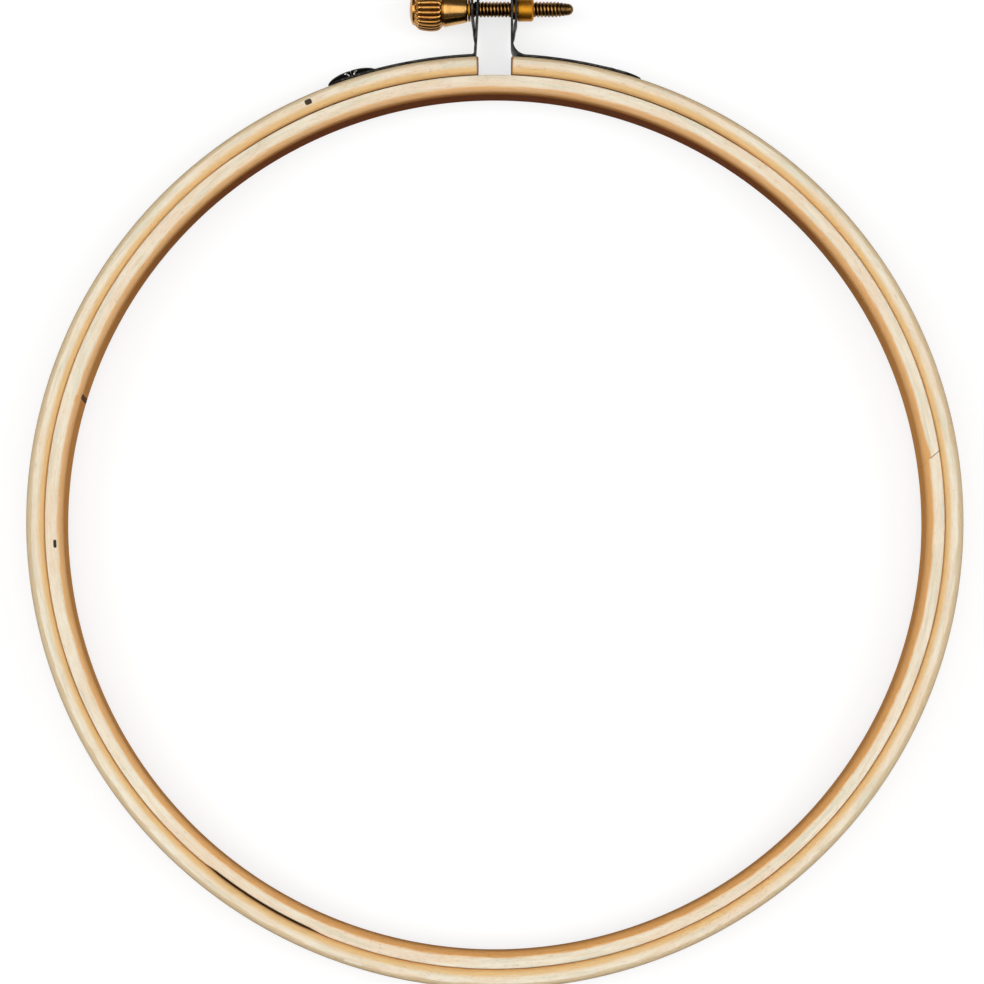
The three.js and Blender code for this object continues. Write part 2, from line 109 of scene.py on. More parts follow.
# Straps, rivets and tacks. A strap has its side of the clamp, its arc on the rim in degrees, the bend at its
# foot, the lean of its ear in degrees, the hollow of its fold, how far the outer layer is straight below the
# screw, the height of its rivet's prongs and the radius of its hole for the screw.
Strap = namedtuple("Strap", "side arc bend lean fold straight prong_height screw_hole")
LEFT_STRAP = Strap(-1, 21.2, 0.45 * MM, 3, 0.68 * MM, 1.2 * MM, 1.9 * MM, 2.05 * MM)
RIGHT_STRAP = Strap(1, 18.5, 3.1 * MM, 0, 0.42 * MM, 2.9 * MM, 0.8 * MM, 2.36 * MM)
# The name, the strap and the moving body of each side
SIDES = (("left", LEFT_STRAP, "left_clamp"), ("right", RIGHT_STRAP, "outer_frame"))
STRAP_CLEARANCE = 0.15 * MM
STRAP_EDGE_ROUND = 0.14 * MM
STRAP_STEP_DEGREES = 0.6
STRAP_STEP = 1 * MM
ROUND_END_STEPS = 12
BEND_STEPS = 14
EAR_FOLD_PINCH = 4.7 * MM
EAR_FOLD_TAIL = 6.8 * MM
TAIL_TAPER = 2 * MM  # the folded layer's end is worn thin over this length
TAIL_THINNEST = 0.25  # share of the metal's thickness that is left at the end
TAIL_CORNER = 1.6 * MM
EAR_LAYER_SEAM = 0.05 * MM
RIVET_FROM_END = 5.9 * MM
RIVET_HEAD_RADIUS = 2.4 * MM
RIVET_HEAD_THICKNESS = 0.7 * MM
RIVET_HEAD_RECESS = 0.25 * MM
RIVET_HEAD_EDGE = 0.15 * MM
RIVET_SHANK_RISE = 0.2  # how far the shank rises between the prongs, as a share of their height
RIVET_SHANK_RADIUS = 0.95 * MM
HOLE_CLEARANCE = 0.15 * MM
TACK_FROM_MIDDLE = 12.7 * MM
TACK_HEAD_RADIUS = 1.3 * MM
TACK_HEAD_HEIGHT = 0.35 * MM
TACK_RIM = 0.3  # height of the head's upright rim, as a share of the head's
TACK_SHANK_RADIUS = 0.5 * MM
TACK_POINT = 1 * MM
DOME_STEPS = 10
TACK_TIP_DEPTH = 0.9 * MM  # wood left under the tip
MARGIN = 2 * MM  # how far a drill stands out of what it cuts
DRILL_SIDES = 40
SEAT = 0.1 * MM  # between faces that bear on each other

# Screw, washer and nut
TURNED_SIDES = 96
SHANK_SIDES = 44
SIDES_PER_FLUTE = 14
CORNER_STEPS = 5
CURVE_STEPS = 5  # between each two points of an outline
TIP_STEPS = 12
THREAD_ROWS_PER_TURN = 12
TIP_LENGTH = 1.3 * MM
SHANK_IN_NECK = 1 * MM
NUT_SPIGOT_RADIUS = 2.26 * MM
NUT_BORE_RADIUS = 1.85 * MM
NUT_CHAMFER = 0.35 * MM
NUT_MOUTH = 0.3 * MM  # how far the nut's bore opens at its mouth
CHAMFER_EASE = (0.06 * MM, 0.04 * MM)  # how far its corners are eased, along the flat and along the chamfer
TURNED_EDGE = 0.18 * MM
WASHER_CLEARANCE = 0.2 * MM


def colour(red, green, blue):
    """A display colour, 0 to 255, as the linear values that Blender works in."""
    values = [value / 255 for value in (red, green, blue)]
    return [v / 12.92 if v <= 0.04045 else ((v + 0.055) / 1.055) ** 2.4 for v in values]


def length(name, description, default):
    return bpy.props.FloatProperty(
        name=name, description=description, default=default, min=0, unit="LENGTH", precision=5
    )


def tint(name, description, red, green, blue):
    return bpy.props.FloatVectorProperty(
        name=name, description=description, default=colour(red, green, blue), min=0, max=1, subtype="COLOR"
    )


class HoopWood(bpy.types.PropertyGroup):
    """Sizes and colours of the two bent wooden rings."""

    outer_wall: length("Outer wall", "Thickness of the outer ring, from outside to inside", 4.15 * MM)
    inner_wall: length("Inner wall", "Thickness of the inner ring, from outside to inside", 3.7 * MM)
    edge_round: length("Edge rounding", "Radius of the rounded edges", 1.35 * MM)
    seam_edge: length("Seam edge", "Radius of the inner ring's edges at the seam", 0.35 * MM)
    split_width: length("Split", "Width of the gap between the outer ring's ends", 7.2 * MM)
    seam_gap: length("Seam", "Gap between the rings where they press together", 0.06 * MM)
    pale: tint("Pale wood", "Colour of the lightest grain", 247, 238, 217)
    pink: tint("Pinkish wood", "Colour of the pinker patches of grain", 243, 222, 195)
    # Honey and tan: partly the wood's tone and partly painted shade on the rounded inner edges; honey also
    # tints the grain
    honey: tint("Honey wood", "Colour of the outer ring's inner edge", 236, 194, 128)
    tan: tint("Tan wood", "Colour of the inner ring's inner edge", 226, 164, 92)
    bark: tint("Brown wood", "Colour of the inner ring's inside wall", 224, 160, 90)
    # Deep brown: painted shade, low on the inner ring's inside wall beside the clamp and where its tan band
    # is widest
    deep: tint("Deep brown wood", "Colour low down on the inside wall", 112, 50, 8)
    # Shade: painted shade on the seam's faces where the rings stand apart
    shade: tint("Seam", "Colour of the faces in the seam", 92, 50, 20)
    end_grain: tint("End grain", "Colour of the cut ends", 150, 104, 62)
    glue: tint("Glue", "Colour of the glue line in the inner ring's joint", 118, 92, 68)
    fleck: tint("Flecks", "Colour of the small dark flecks", 40, 24, 14)
    # Rim: partly the wood's tone and partly painted shade on the outer ring's rounded outer edge
    rim: tint("Rim", "Colour of the outer ring's outer edge", 212, 188, 146)
    green: tint("Greyish wood", "Colour of the cooler patches of grain", 226, 222, 200)


class HoopClamp(bpy.types.PropertyGroup):
    """Sizes and colours of the straps and of what fastens them."""

    strap_width: length("Strap width", "Height of the steel strap on the ring", 8 * MM)
    strap_thickness: length("Strap thickness", "Thickness of the steel strap", 0.52 * MM)
    ear_opening: length("Ear opening", "Distance between the two ears, level with the screw", 7.1 * MM)
    ear_above_screw: length("Ear height", "How far the ears rise above the screw's axis", 4 * MM)
    prong_reach: length("Prong reach", "How far a rivet's prong reaches along the strap", 5.6 * MM)
    prong_width: length("Prong width", "Width of a rivet's prong", 2.6 * MM)
    steel: tint("Steel", "Colour of the steel straps", 50, 49, 46)
    fastener: tint("Fastener steel", "Colour of the rivets and tacks", 44, 42, 40)
    grime: tint("Grime", "Colour of the dirt on the steel", 14, 12, 11)
    worn: tint("Worn steel", "Colour of the steel's rubbed edges", 226, 224, 216)


class HoopScrew(bpy.types.PropertyGroup):
    """Sizes and colours of the thumbscrew, its washer and its nut."""

    thread_radius: length("Thread radius", "Radius of the screw over its thread", 1.752 * MM)
    thread_pitch: length("Pitch", "Distance between two turns of the thread", 25.4 * MM / 32)
    thread_depth: length("Thread depth", "Depth of the thread", 0.45 * MM)
    flute_count: bpy.props.IntProperty(
        name="Flutes", description="Number of grooves round the knob", default=23, min=3
    )
    flute_depth: length("Flute depth", "Depth of the grooves round the knob", 0.42 * MM)
    nut_length: length("Nut length", "Length of the nut outside the ear", 3.5 * MM)
    brass: tint("Brass", "Colour of the clean brass", 206, 160, 92)
    old_brass: tint("Old brass", "Colour of the duller patches", 168, 108, 44)
    nut_brass: tint("Nut brass", "Colour of the nut and the washer", 200, 136, 34)
    tarnish: tint("Tarnish", "Colour in the grooves", 40, 12, 3)


class HoopStage(bpy.types.PropertyGroup):
    """Camera, light and floor."""

    camera_elevation: bpy.props.FloatProperty(
        name="Camera elevation", description="Camera angle above the floor",
        default=math.radians(83.7), subtype="ANGLE",
    )
    camera_distance: length("Camera distance", "From the camera to the hoop's upper side", 0.73)
    frame_width: length("Frame width", "What the camera sees at the hoop's upper side", 213.1 * MM)
    lamp_power: bpy.props.FloatProperty(
        name="Lamp power", description="Power of the soft lamp overhead", default=10.4, unit="POWER"
    )
    lamp_width: length("Lamp width", "Size of the overhead lamp from left to right", 1.4)
    lamp_depth: length("Lamp depth", "Size of the overhead lamp from front to back", 1.4)
    lamp_height: length("Lamp height", "Height of the overhead lamp above the floor", 1.3)
    lamp_forward: length("Lamp forward", "How far the overhead lamp stands in front of the hoop", 0.2)
    side_power: bpy.props.FloatProperty(
        name="Side power", description="Power of the soft lamp on each side", default=12.4, unit="POWER"
    )
    side_size: length("Side size", "Width and height of the lamp on each side", 1.1)
    side_distance: length("Side distance", "From the hoop to the lamp on each side", 1.75)
    side_elevation: bpy.props.FloatProperty(
        name="Side elevation", description="Angle of the side lamps above the floor",
        default=math.radians(40), subtype="ANGLE",
    )
    world_light: bpy.props.FloatProperty(
        name="Surrounding light", description="Strength of the light from all round", default=0.08, min=0
    )
    floor: tint("Floor", "Colour of the floor, which also glows a little", 158, 158, 158)
    floor_bounce: tint("Floor bounce", "Colour with which the floor lights the hoop", 122, 106, 86)


def settings(group):
    return getattr(bpy.context.scene, group)


# Node trees


class Number:
    """A number in a node tree. Arithmetic on it adds Math nodes to the tree."""

    def __init__(self, tree, socket):
        self.tree = tree
        self.socket = socket

    def math(self, operation, *others, first=None, clamp=False):
        node = self.tree.nodes.new("ShaderNodeMath")
        node.operation = operation
        node.use_clamp = clamp
        values = (self if first is None else first, *others)
        for value, socket in zip(values, node.inputs):
            connect(self.tree, value, socket)
        return Number(self.tree, node.outputs[0])

    def __add__(self, other):
        return self.math("ADD", other)

    def __sub__(self, other):
        return self.math("SUBTRACT", other)

    def __rsub__(self, other):
        return self.math("SUBTRACT", self, first=other)

    def __mul__(self, other):
        return self.math("MULTIPLY", other)

    def __truediv__(self, other):
        return self.math("DIVIDE", other)

    __radd__ = __add__
    __rmul__ = __mul__

    def power(self, exponent):
        return self.math("POWER", exponent)

    def cosine(self):
        return self.math("COSINE")

    def sine(self):
        return self.math("SINE")

    def size(self):
        return self.math("ABSOLUTE")

    def clamped(self):
        return self.math("ADD", 0, clamp=True)

    def least(self, other):
        return self.math("MINIMUM", other)

    def between(self, low, high):
        """0 below low, 1 above high and smooth in between."""
        node = self.tree.nodes.new("ShaderNodeMapRange")
        node.interpolation_type = "SMOOTHSTEP"
        for name, value in (("Value", self), ("From Min", low), ("From Max", high)):
            connect(self.tree, value, node.inputs[name])
        return Number(self.tree, node.outputs[0])


def connect(tree, value, socket):
    if isinstance(value, Number):
        tree.links.new(value.socket, socket)
    elif isinstance(value, bpy.types.NodeSocket):
        tree.links.new(value, socket)
    else:
        socket.default_value = value


def add_node(tree, kind, inputs=None, **options):
    node = tree.nodes.new(kind)
    for option, value in options.items():
        setattr(node, option, value)
    for name, value in (inputs or {}).items():
        connect(tree, value, node.inputs[name])
    return node


def parts_of(tree, vector):
    """The X, Y and Z of a vector."""
    node = add_node(tree, "ShaderNodeSeparateXYZ", {0: vector})
    return [Number(tree, socket) for socket in node.outputs]


def vector_of(tree, x, y, z):
    return add_node(tree, "ShaderNodeCombineXYZ", {0: x, 1: y, 2: z}).outputs[0]


def noise(tree, vector, detail=2, roughness=0.5, scale=1):
    inputs = {"Vector": vector, "Scale": scale, "Detail": detail, "Roughness": roughness}
    return Number(tree, add_node(tree, "ShaderNodeTexNoise", inputs).outputs[0])


def mixed(tree, factor, first, second):
    """A colour between two colours, each a socket or plain red, green and blue."""
    node = add_node(tree, "ShaderNodeMix", {0: factor}, data_type="RGBA")
    for index, value in ((6, first), (7, second)):
        linked = isinstance(value, bpy.types.NodeSocket)
        connect(tree, value if linked else [*value, 1], node.inputs[index])
    return node.outputs[2]


def group_tree(name, kind, inputs, outputs):
    """An empty node group with named sockets, and its input and output nodes."""
    tree = bpy.data.node_groups.new(name, kind)
    for sockets, way in ((inputs, "INPUT"), (outputs, "OUTPUT")):
        for socket, form in sockets.items():
            tree.interface.new_socket(socket, in_out=way, socket_type=f"NodeSocket{form}")
    return tree, tree.nodes.new("NodeGroupInput"), tree.nodes.new("NodeGroupOutput")


def geometry_tree(name, numbers):
    """A geometry node group with a named input for each size, which are given back as numbers."""
    inputs = {"Geometry": "Geometry", **dict.fromkeys(numbers, "Float"), "Material": "Material"}
    tree, start, end = group_tree(name, "GeometryNodeTree", inputs, {"Geometry": "Geometry"})
    return tree, start, end, [Number(tree, start.outputs[number]) for number in numbers]


def close_geometry_tree(tree, start, end, geometry):
    """Ends a geometry tree: real geometry with its material."""
    real = add_node(tree, "GeometryNodeRealizeInstances", {"Geometry": geometry})
    inputs = {"Geometry": real.outputs[0], "Material": start.outputs["Material"]}
    painted = add_node(tree, "GeometryNodeSetMaterial", inputs)
    connect(tree, painted.outputs[0], end.inputs[0])


def store(tree, geometry, name, form, value):
    """Keeps a value on each point under a name that materials read."""
    node = add_node(tree, "GeometryNodeStoreNamedAttribute", data_type=form, domain="POINT")
    connect(tree, geometry, node.inputs["Geometry"])
    node.inputs["Name"].default_value = name
    for socket in node.inputs:
        if socket.name == "Value" and socket.enabled:
            connect(tree, value, socket)
    return node.outputs[0]


def place_points(tree, geometry, x, y, z):
    inputs = {"Geometry": geometry, "Position": vector_of(tree, x, y, z)}
    return add_node(tree, "GeometryNodeSetPosition", inputs).outputs[0]


def evaluated(blank):
    """The object's mesh with its modifiers worked in, as a plain mesh. The object is removed."""
    depsgraph = bpy.context.evaluated_depsgraph_get()
    made = bpy.data.meshes.new_from_object(
        blank.evaluated_get(depsgraph), preserve_all_data_layers=True, depsgraph=depsgraph
    )
    bpy.data.objects.remove(blank)
    return made


def blank_object(mesh):
    blank = bpy.data.objects.new(mesh.name, mesh)
    bpy.context.scene.collection.objects.link(blank)
    return blank


def grow(mesh, tree, sizes, material):
    """What a geometry tree makes of a mesh."""
    blank = blank_object(mesh)
    modifier = blank.modifiers.new(tree.name, "NODES")
    modifier.node_group = tree
    for socket in tree.interface.items_tree:
        if socket.in_out == "INPUT" and socket.name in sizes:
            modifier[socket.identifier] = sizes[socket.name]
        if socket.in_out == "INPUT" and socket.name == "Material":
            modifier[socket.identifier] = material
    return evaluated(blank)


# Meshes


def closed_mesh(name, points, faces):
    mesh = bpy.data.meshes.new(name)
    mesh.from_pydata([tuple(point) for point in points], [], faces)
    mesh.update()
    volume = sum(
        point_of(mesh, face, 0).dot(point_of(mesh, face, i).cross(point_of(mesh, face, i + 1)))
        for face in mesh.polygons
        for i in range(1, len(face.vertices) - 1)
    )
    if volume < 0:
        mesh.flip_normals()
    return mesh


def point_of(mesh, face, index):
    return mesh.vertices[face.vertices[index]].co


def loft(name, sections):
    """A closed mesh through sections that all have the same number of points."""
    count = len(sections[0])
    points = [point for section in sections for point in section]
    faces = []
    for row in range(0, len(points) - count, count):
        for i in range(count):
            j = (i + 1) % count
            faces.append((row + i, row + j, row + count + j, row + count + i))
    faces.append(tuple(reversed(range(count))))
    faces.append(tuple(range(len(points) - count, len(points))))
    return closed_mesh(name, points, faces)


def lathe(name, outline, sides, hollow=False):
    """A surface of revolution about Z through (radius, height) points. A point on the axis is a single pole,
    and a hollow one closes on its own first point."""
    points = []
    rows = []
    for radius, height in outline:
        count = sides if radius > 0 else 1
        rows.append(range(len(points), len(points) + count))
        for i in range(count):
            angle = TURN * i / sides
            points.append((radius * math.cos(angle), radius * math.sin(angle), height))
    pairs = list(zip(rows, rows[1:]))
    if hollow:
        pairs.append((rows[-1], rows[0]))
    faces = []
    for lower, upper in pairs:
        for i in range(sides):
            corners = [row[k % len(row)] for row, k in ((lower, i), (lower, (i + 1) % sides))]
            corners += [row[k % len(row)] for row, k in ((upper, (i + 1) % sides), (upper, i))]
            faces.append(tuple(dict.fromkeys(corners)))
    return closed_mesh(name, points, faces)


def rod(name, radius, low, high):
    return lathe(name, [(0, low), (radius, low), (radius, high), (0, high)], DRILL_SIDES)


def joined(name, meshes, worn=()):
    """Several meshes as one, each still a closed body of its own. The points of the worn ones are marked."""
    points = []
    faces = []
    wear = []
    for mesh in meshes:
        start = len(points)
        points += [vertex.co.copy() for vertex in mesh.vertices]
        faces += [tuple(start + i for i in face.vertices) for face in mesh.polygons]
        wear += [float(mesh in worn)] * len(mesh.vertices)
    whole = bpy.data.meshes.new(name)
    whole.from_pydata(points, [], faces)
    whole.attributes.new("wear", "FLOAT", "POINT").data.foreach_set("value", wear)
    whole.update()
    return whole


def moved(mesh, matrix):
    mesh.transform(matrix)
    return mesh


def drilled(mesh, drills):
    """The mesh with each drill's mesh cut out of it."""
    blank = blank_object(mesh)
    tools = [blank_object(drill) for drill in drills]
    for tool in tools:
        cut = blank.modifiers.new(tool.name, "BOOLEAN")
        cut.object = tool
        cut.solver = "EXACT"
    made = evaluated(blank)
    for tool in tools:
        bpy.data.objects.remove(tool)
    return made


def piece(name, mesh, material, replaces, body=None, crease=32):
    """A finished object: smooth but for its creases, in its material, riding on its body."""
    mesh.polygons.foreach_set("use_smooth", [True] * len(mesh.polygons))
    mesh.set_sharp_from_angle(angle=math.radians(crease))
    mesh.materials.clear()
    mesh.materials.append(material)
    made = bpy.data.objects.new(name, mesh)
    bpy.context.scene.collection.objects.link(made)
    if body:
        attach(made, body)
    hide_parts(replaces)
    return made


# Rings


def wall_outline(wall, inside_round, outside_round):
    """A ring's wall as (out, up) points round its middle, with arcs at the corners and support points on the
    flats beside them."""
    corners = (
        (1, -1, outside_round, -90),
        (1, 1, outside_round, 0),
        (-1, 1, inside_round, 90),
        (-1, -1, inside_round, 180),
    )
    outline = []
    for out, up, radius, start in corners:
        centre = Vector((out * (wall / 2 - radius), up * (RING_DEPTH / 2 - radius)))
        for step in range(-1, EDGE_STEPS + 2):
            share = min(max(step / EDGE_STEPS, 0), 1)
            angle = math.radians(start + 90 * share)
            beyond = (step / EDGE_STEPS - share) * EDGE_STEPS * EDGE_SUPPORT
            onward = Vector((-math.sin(angle), math.cos(angle)))
            outline.append(centre + radius * Vector((math.cos(angle), math.sin(angle))) + beyond * onward)
    return outline


class WoodStrip:
    """The straight strip that a ring is bent from. Its middle comes to lie at the start angle, and its ends
    meet opposite that, but for a gap."""

    def __init__(self, outside, wall, start_degrees, gap):
        self.radius = outside - wall / 2
        self.half_wall = wall / 2
        self.start_degrees = start_degrees
        self.half_length = self.radius * (math.pi - math.asin(gap / 2 / self.radius))

    def distance(self, degrees):
        """How far along the strip, from its middle, the place at an angle of the hoop is."""
        return math.radians((degrees - self.start_degrees + 180) % 360 - 180) * self.radius

    def facing(self, along, degrees, times=1):
        """1 where a material's place along the strip, in millimetres, comes to lie at an angle and -1
        opposite, or that several times round."""
        turned = along * (MM / self.radius) + math.radians(self.start_degrees - degrees)
        return (turned * times).cosine()

    def straight(self, name, outline, ease, slopes):
        """The strip along X, its outside towards +Y. Its ends are eased, and cut at a slope: how far the cut
        moves along for its way outwards."""
        half = self.half_length
        rounding = [ease * share for share in END_ROUNDING]
        stations = [distance - half for distance in rounding]
        stations += [(half - ease) * (2 * i / WOOD_STEPS - 1) for i in range(1, WOOD_STEPS)]
        stations += [half - distance for distance in reversed(rounding)]
        sections = []
        for station in stations:
            from_end = half - abs(station)
            left = max(0, ease - from_end)
            inset = ease - math.sqrt(ease**2 - left**2)
            fade = max(0, 1 - from_end / SLOPE_FADE)
            slope = slopes[station > 0] * fade * fade * (3 - 2 * fade)
            narrower = 1 - inset / self.half_wall
            lower = 1 - 2 * inset / RING_DEPTH
            sections.append([(station + slope * out, out * narrower, up * lower) for out, up in outline])
        return loft(name, sections)

    def bent(self, mesh, swell, material):
        """The straight mesh bent round the hoop's centre, with its outside swollen towards the seam."""
        sizes = {
            "Radius": self.radius,
            "Centre Y": RING_CENTRE.y,
            "Centre Z": RING_CENTRE.z,
            "Start Angle": math.radians(self.start_degrees),
            "Half Wall": self.half_wall,
            "Swell": swell,
        }
        return grow(mesh, bending_tree(), sizes, material)


def in_window(nearness, window, between):
    """1 in a window and 0 outside it, by the cosine of the angle from its middle."""
    low, high = (math.cos(math.radians(window.half_width * share)) for share in between)
    return nearness.between(low, high)


def bending_tree():
    """Bends a straight strip round the hoop's centre, and keeps on each point its place in the straight
    strip. The outside swells to close the seam, but for the windows where the rings stand apart."""
    sizes = ("Radius", "Centre Y", "Centre Z", "Start Angle", "Half Wall", "Swell")
    tree, start, end, numbers = geometry_tree("Bend strip", sizes)
    radius, centre_y, centre_z, first, half_wall, swell = numbers
    straight = add_node(tree, "GeometryNodeInputPosition").outputs[0]
    kept = store(tree, start.outputs["Geometry"], "strip_place", "FLOAT_VECTOR", straight)
    along, out, up = parts_of(tree, straight)
    angle = first + along / radius
    tight = 1
    for window in WINDOWS:
        nearness = (angle - math.radians(window.middle)).cosine()
        tight = tight - in_window(nearness, window, PARTING_BETWEEN) * window.parting
    swollen = out + swell * tight * (out / half_wall).clamped()
    reach = radius + swollen
    placed = place_points(tree, kept, reach * angle.cosine(), centre_y + reach * angle.sine(), centre_z + up)
    close_geometry_tree(tree, start, end, placed)
    return tree


def rim_degrees(distance):
    return math.degrees(distance / OUTER_RADIUS)


def rivet_degrees(strap):
    return 90 - strap.side * (strap.arc - rim_degrees(RIVET_FROM_END))


def tack_degrees(strap):
    return 90 - strap.side * math.degrees(math.asin(TACK_FROM_MIDDLE / OUTER_RADIUS))


def fastener_drills(strap):
    """The room that a strap's rivet and tack need, with the angles on the rim where they stand. Each drill is
    about Z, which is 0 on the wood's outside."""
    wall = settings("hoop_wood").outer_wall
    head = RIVET_HEAD_RADIUS + HOLE_CLEARANCE
    shank = RIVET_SHANK_RADIUS + HOLE_CLEARANCE
    tack = TACK_SHANK_RADIUS + HOLE_CLEARANCE
    inside = -wall - MARGIN
    step = RIVET_HEAD_RECESS + RIVET_HEAD_THICKNESS + HOLE_CLEARANCE - wall
    tip = TACK_TIP_DEPTH - wall - HOLE_CLEARANCE
    rivet = [(0, inside), (head, inside), (head, step), (shank, step), (shank, MARGIN), (0, MARGIN)]
    return (
        (rivet_degrees(strap), lathe("rivet_drill", rivet, DRILL_SIDES)),
        (tack_degrees(strap), rod("tack_drill", tack, tip, MARGIN)),
    )


def outer_ring():
    wood = settings("hoop_wood")
    strip = WoodStrip(OUTER_RADIUS, wood.outer_wall, OUTER_START_DEGREES, wood.split_width)
    outline = wall_outline(wood.outer_wall, wood.edge_round, wood.edge_round)
    slope = wood.split_width / 2 / strip.radius
    mesh = strip.straight("outer_strip", outline, SPLIT_EASE, (-slope, slope))
    drills = []
    for _, strap, _ in SIDES:
        for degrees, drill in fastener_drills(strap):
            place = Vector((strip.distance(degrees), strip.half_wall, 0))
            drills.append(moved(drill, Matrix.Translation(place) @ Matrix.Rotation(-math.pi / 2, 4, "X")))
    material = outer_wood_material(strip)
    ring = strip.bent(drilled(mesh, drills), 0, material)
    made = piece("outer_ring_wood", ring, material, "outer_ring")
    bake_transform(made)


def inner_ring():
    wood = settings("hoop_wood")
    strip = WoodStrip(INNER_RING_RADIUS, wood.inner_wall, JOINT_DEGREES + 180, JOINT_GAP)
    outline = wall_outline(wood.inner_wall, wood.edge_round, wood.seam_edge)
    mesh = strip.straight("inner_strip", outline, JOINT_EASE, (JOINT_SLOPE, JOINT_SLOPE))
    swell = OUTER_RADIUS - wood.outer_wall - INNER_RING_RADIUS - wood.seam_gap
    material = inner_wood_material(strip)
    ring = strip.bent(mesh, swell, material)
    piece("inner_ring_wood", ring, material, "inner_ring", "inner_hoop")


# Straps


def arc(centre, radius, start, end, steps):
    turns = [start + (end - start) * i / steps for i in range(steps + 1)]
    return [centre + radius * Vector((math.cos(turn), math.sin(turn))) for turn in turns]


def strap_line(strap, clamp):
    """The strap's wood side seen along Z, drawn for the right-hand side about the ring's centre: round the
    rim, up the ear, over the fold and down. The metal lies on the right of the line."""
    tilt = math.radians(strap.lean)
    screw_height = SCREW_AXIS.y - RING_CENTRE.y
    thickness = clamp.strap_thickness
    start = Vector((clamp.ear_opening / 2, screw_height))
    rise = Vector((-math.sin(tilt), math.cos(tilt)))
    away = Vector((math.cos(tilt), math.sin(tilt)))

    # The foot is an arc that touches both the rim and the ear's inner face
    rim_radius = OUTER_RADIUS + STRAP_CLEARANCE
    foot_radius = strap.bend + thickness
    level = start + away * foot_radius
    slope = level.dot(rise)
    below = level.length_squared - (rim_radius + foot_radius) ** 2
    foot = level + rise * (math.sqrt(slope**2 - below) - slope)
    rim_end = math.atan2(foot.y, foot.x)
    rim_start = math.radians(90 - strap.arc)
    rim_steps = round((rim_end - rim_start) / math.radians(STRAP_STEP_DEGREES))

    # The fold touches the ear's inner face, the outer face and the top
    width = 2 * thickness + strap.fold
    share = 1 + math.cos(tilt) + math.sin(tilt)
    fold_radius = (width * math.cos(tilt) + clamp.ear_above_screw * math.sin(tilt)) / share
    outer_face = start.x + width
    fold = Vector((outer_face - fold_radius, screw_height + clamp.ear_above_screw - fold_radius))

    # The outer layer bends in to the first one and ends on it
    pinched = start + away * (2 * thickness + EAR_LAYER_SEAM) - rise * EAR_FOLD_PINCH
    tail = pinched - rise * (EAR_FOLD_TAIL - EAR_FOLD_PINCH)
    bent_from = Vector((outer_face, screw_height - strap.straight))
    bend = []
    for i in range(BEND_STEPS + 1):
        way = i / BEND_STEPS
        x = bent_from.x + (pinched.x - bent_from.x) * way * way * (3 - 2 * way)
        bend.append(Vector((x, bent_from.y + (pinched.y - bent_from.y) * way)))
    tapered = [pinched.lerp(tail, i / BEND_STEPS) for i in range(1, BEND_STEPS + 1)]
    return (
        arc(Vector((0, 0)), rim_radius, rim_start, rim_end, rim_steps)
        + arc(foot, foot_radius, rim_end - math.pi, tilt - math.pi, BEND_STEPS)[1:]
        + arc(fold, fold_radius, math.pi + tilt, 0, 2 * BEND_STEPS)
        + bend
        + tapered
    )


def strip_outline(half_width, thickness):
    """A flat strip's section as (across, up) points with rounded edges, from the wood side outwards."""
    radius = min(STRAP_EDGE_ROUND, half_width / 2)
    far = thickness - radius
    outline = []
    for across, up, start in ((radius, -1, 180), (far, -1, 270), (far, 1, 0), (radius, 1, 90)):
        centre = Vector((across, up * (half_width - radius)))
        outline += arc(centre, radius, math.radians(start), math.radians(start + 90), 3)
    return outline


def spaced(line, spacing):
    """Points at even distances along a line, which keep its shape where it bends tightly."""
    made = [line[0]]
    for point in line[1:]:
        gap = (point - made[-1]).length
        steps = max(1, round(gap / spacing))
        for i in range(1, steps):
            made.append(made[-1].lerp(point, 1 / (steps - i + 1)))
        made.append(point)
    return made


def bracket_mesh(strap, clamp):
    line = spaced(strap_line(strap, clamp), STRAP_STEP)
    half = clamp.strap_width / 2
    thickness = clamp.strap_thickness
    sections = []
    rim_radius = OUTER_RADIUS + STRAP_CLEARANCE
    start_angle = math.radians(90 - strap.arc)
    stations = []
    for i in range(1, ROUND_END_STEPS):
        turn = math.radians(90 * (1 - i / ROUND_END_STEPS))
        angle = start_angle + half * (1 - math.sin(turn)) / rim_radius
        stations.append((rim_radius * Vector((math.cos(angle), math.sin(angle))), half * math.cos(turn)))
    full_width_from = start_angle + half / rim_radius
    for point in line:
        if math.atan2(point.y, point.x) > full_width_from or point.length > rim_radius + STRAP_EDGE_ROUND:
            stations.append((point, half))
    for i, (point, half_width) in enumerate(stations):
        to_end = (point - line[-1]).length
        kept = 1
        if i > len(stations) / 2 and to_end < TAIL_TAPER:
            kept = TAIL_THINNEST + (1 - TAIL_THINNEST) * to_end / TAIL_TAPER
            corner = max(0, TAIL_CORNER - to_end)
            half_width -= TAIL_CORNER - math.sqrt(TAIL_CORNER**2 - corner**2)
        before = stations[max(0, i - 1)][0]
        after = stations[min(len(stations) - 1, i + 1)][0]
        along = (after - before).normalized()
        across = Vector((along.y, -along.x))
        section = []
        for out, up in strip_outline(half_width, thickness):
            corner = point + across * (thickness - (thickness - out) * kept)
            section.append((strap.side * corner.x, corner.y, up))
        sections.append(section)
    return moved(loft("strap", sections), Matrix.Translation(RING_CENTRE))


def on_rim(degrees):
    """The frame of something fastened to the outer ring: X along the rim, Y up, Z outwards."""
    angle = math.radians(degrees)
    outwards = Vector((math.cos(angle), math.sin(angle), 0))
    along = Vector((-math.sin(angle), math.cos(angle), 0))
    turned = Matrix((along, (0, 0, 1), outwards)).transposed().to_4x4()
    return Matrix.Translation(RING_CENTRE + OUTER_RADIUS * outwards) @ turned


def along_screw(x):
    """The frame of the screw: Z along its axis towards the tip, from a place along X."""
    return Matrix.Translation((x, SCREW_AXIS.y, SCREW_AXIS.z)) @ Matrix.Rotation(math.pi / 2, 4, "Y")


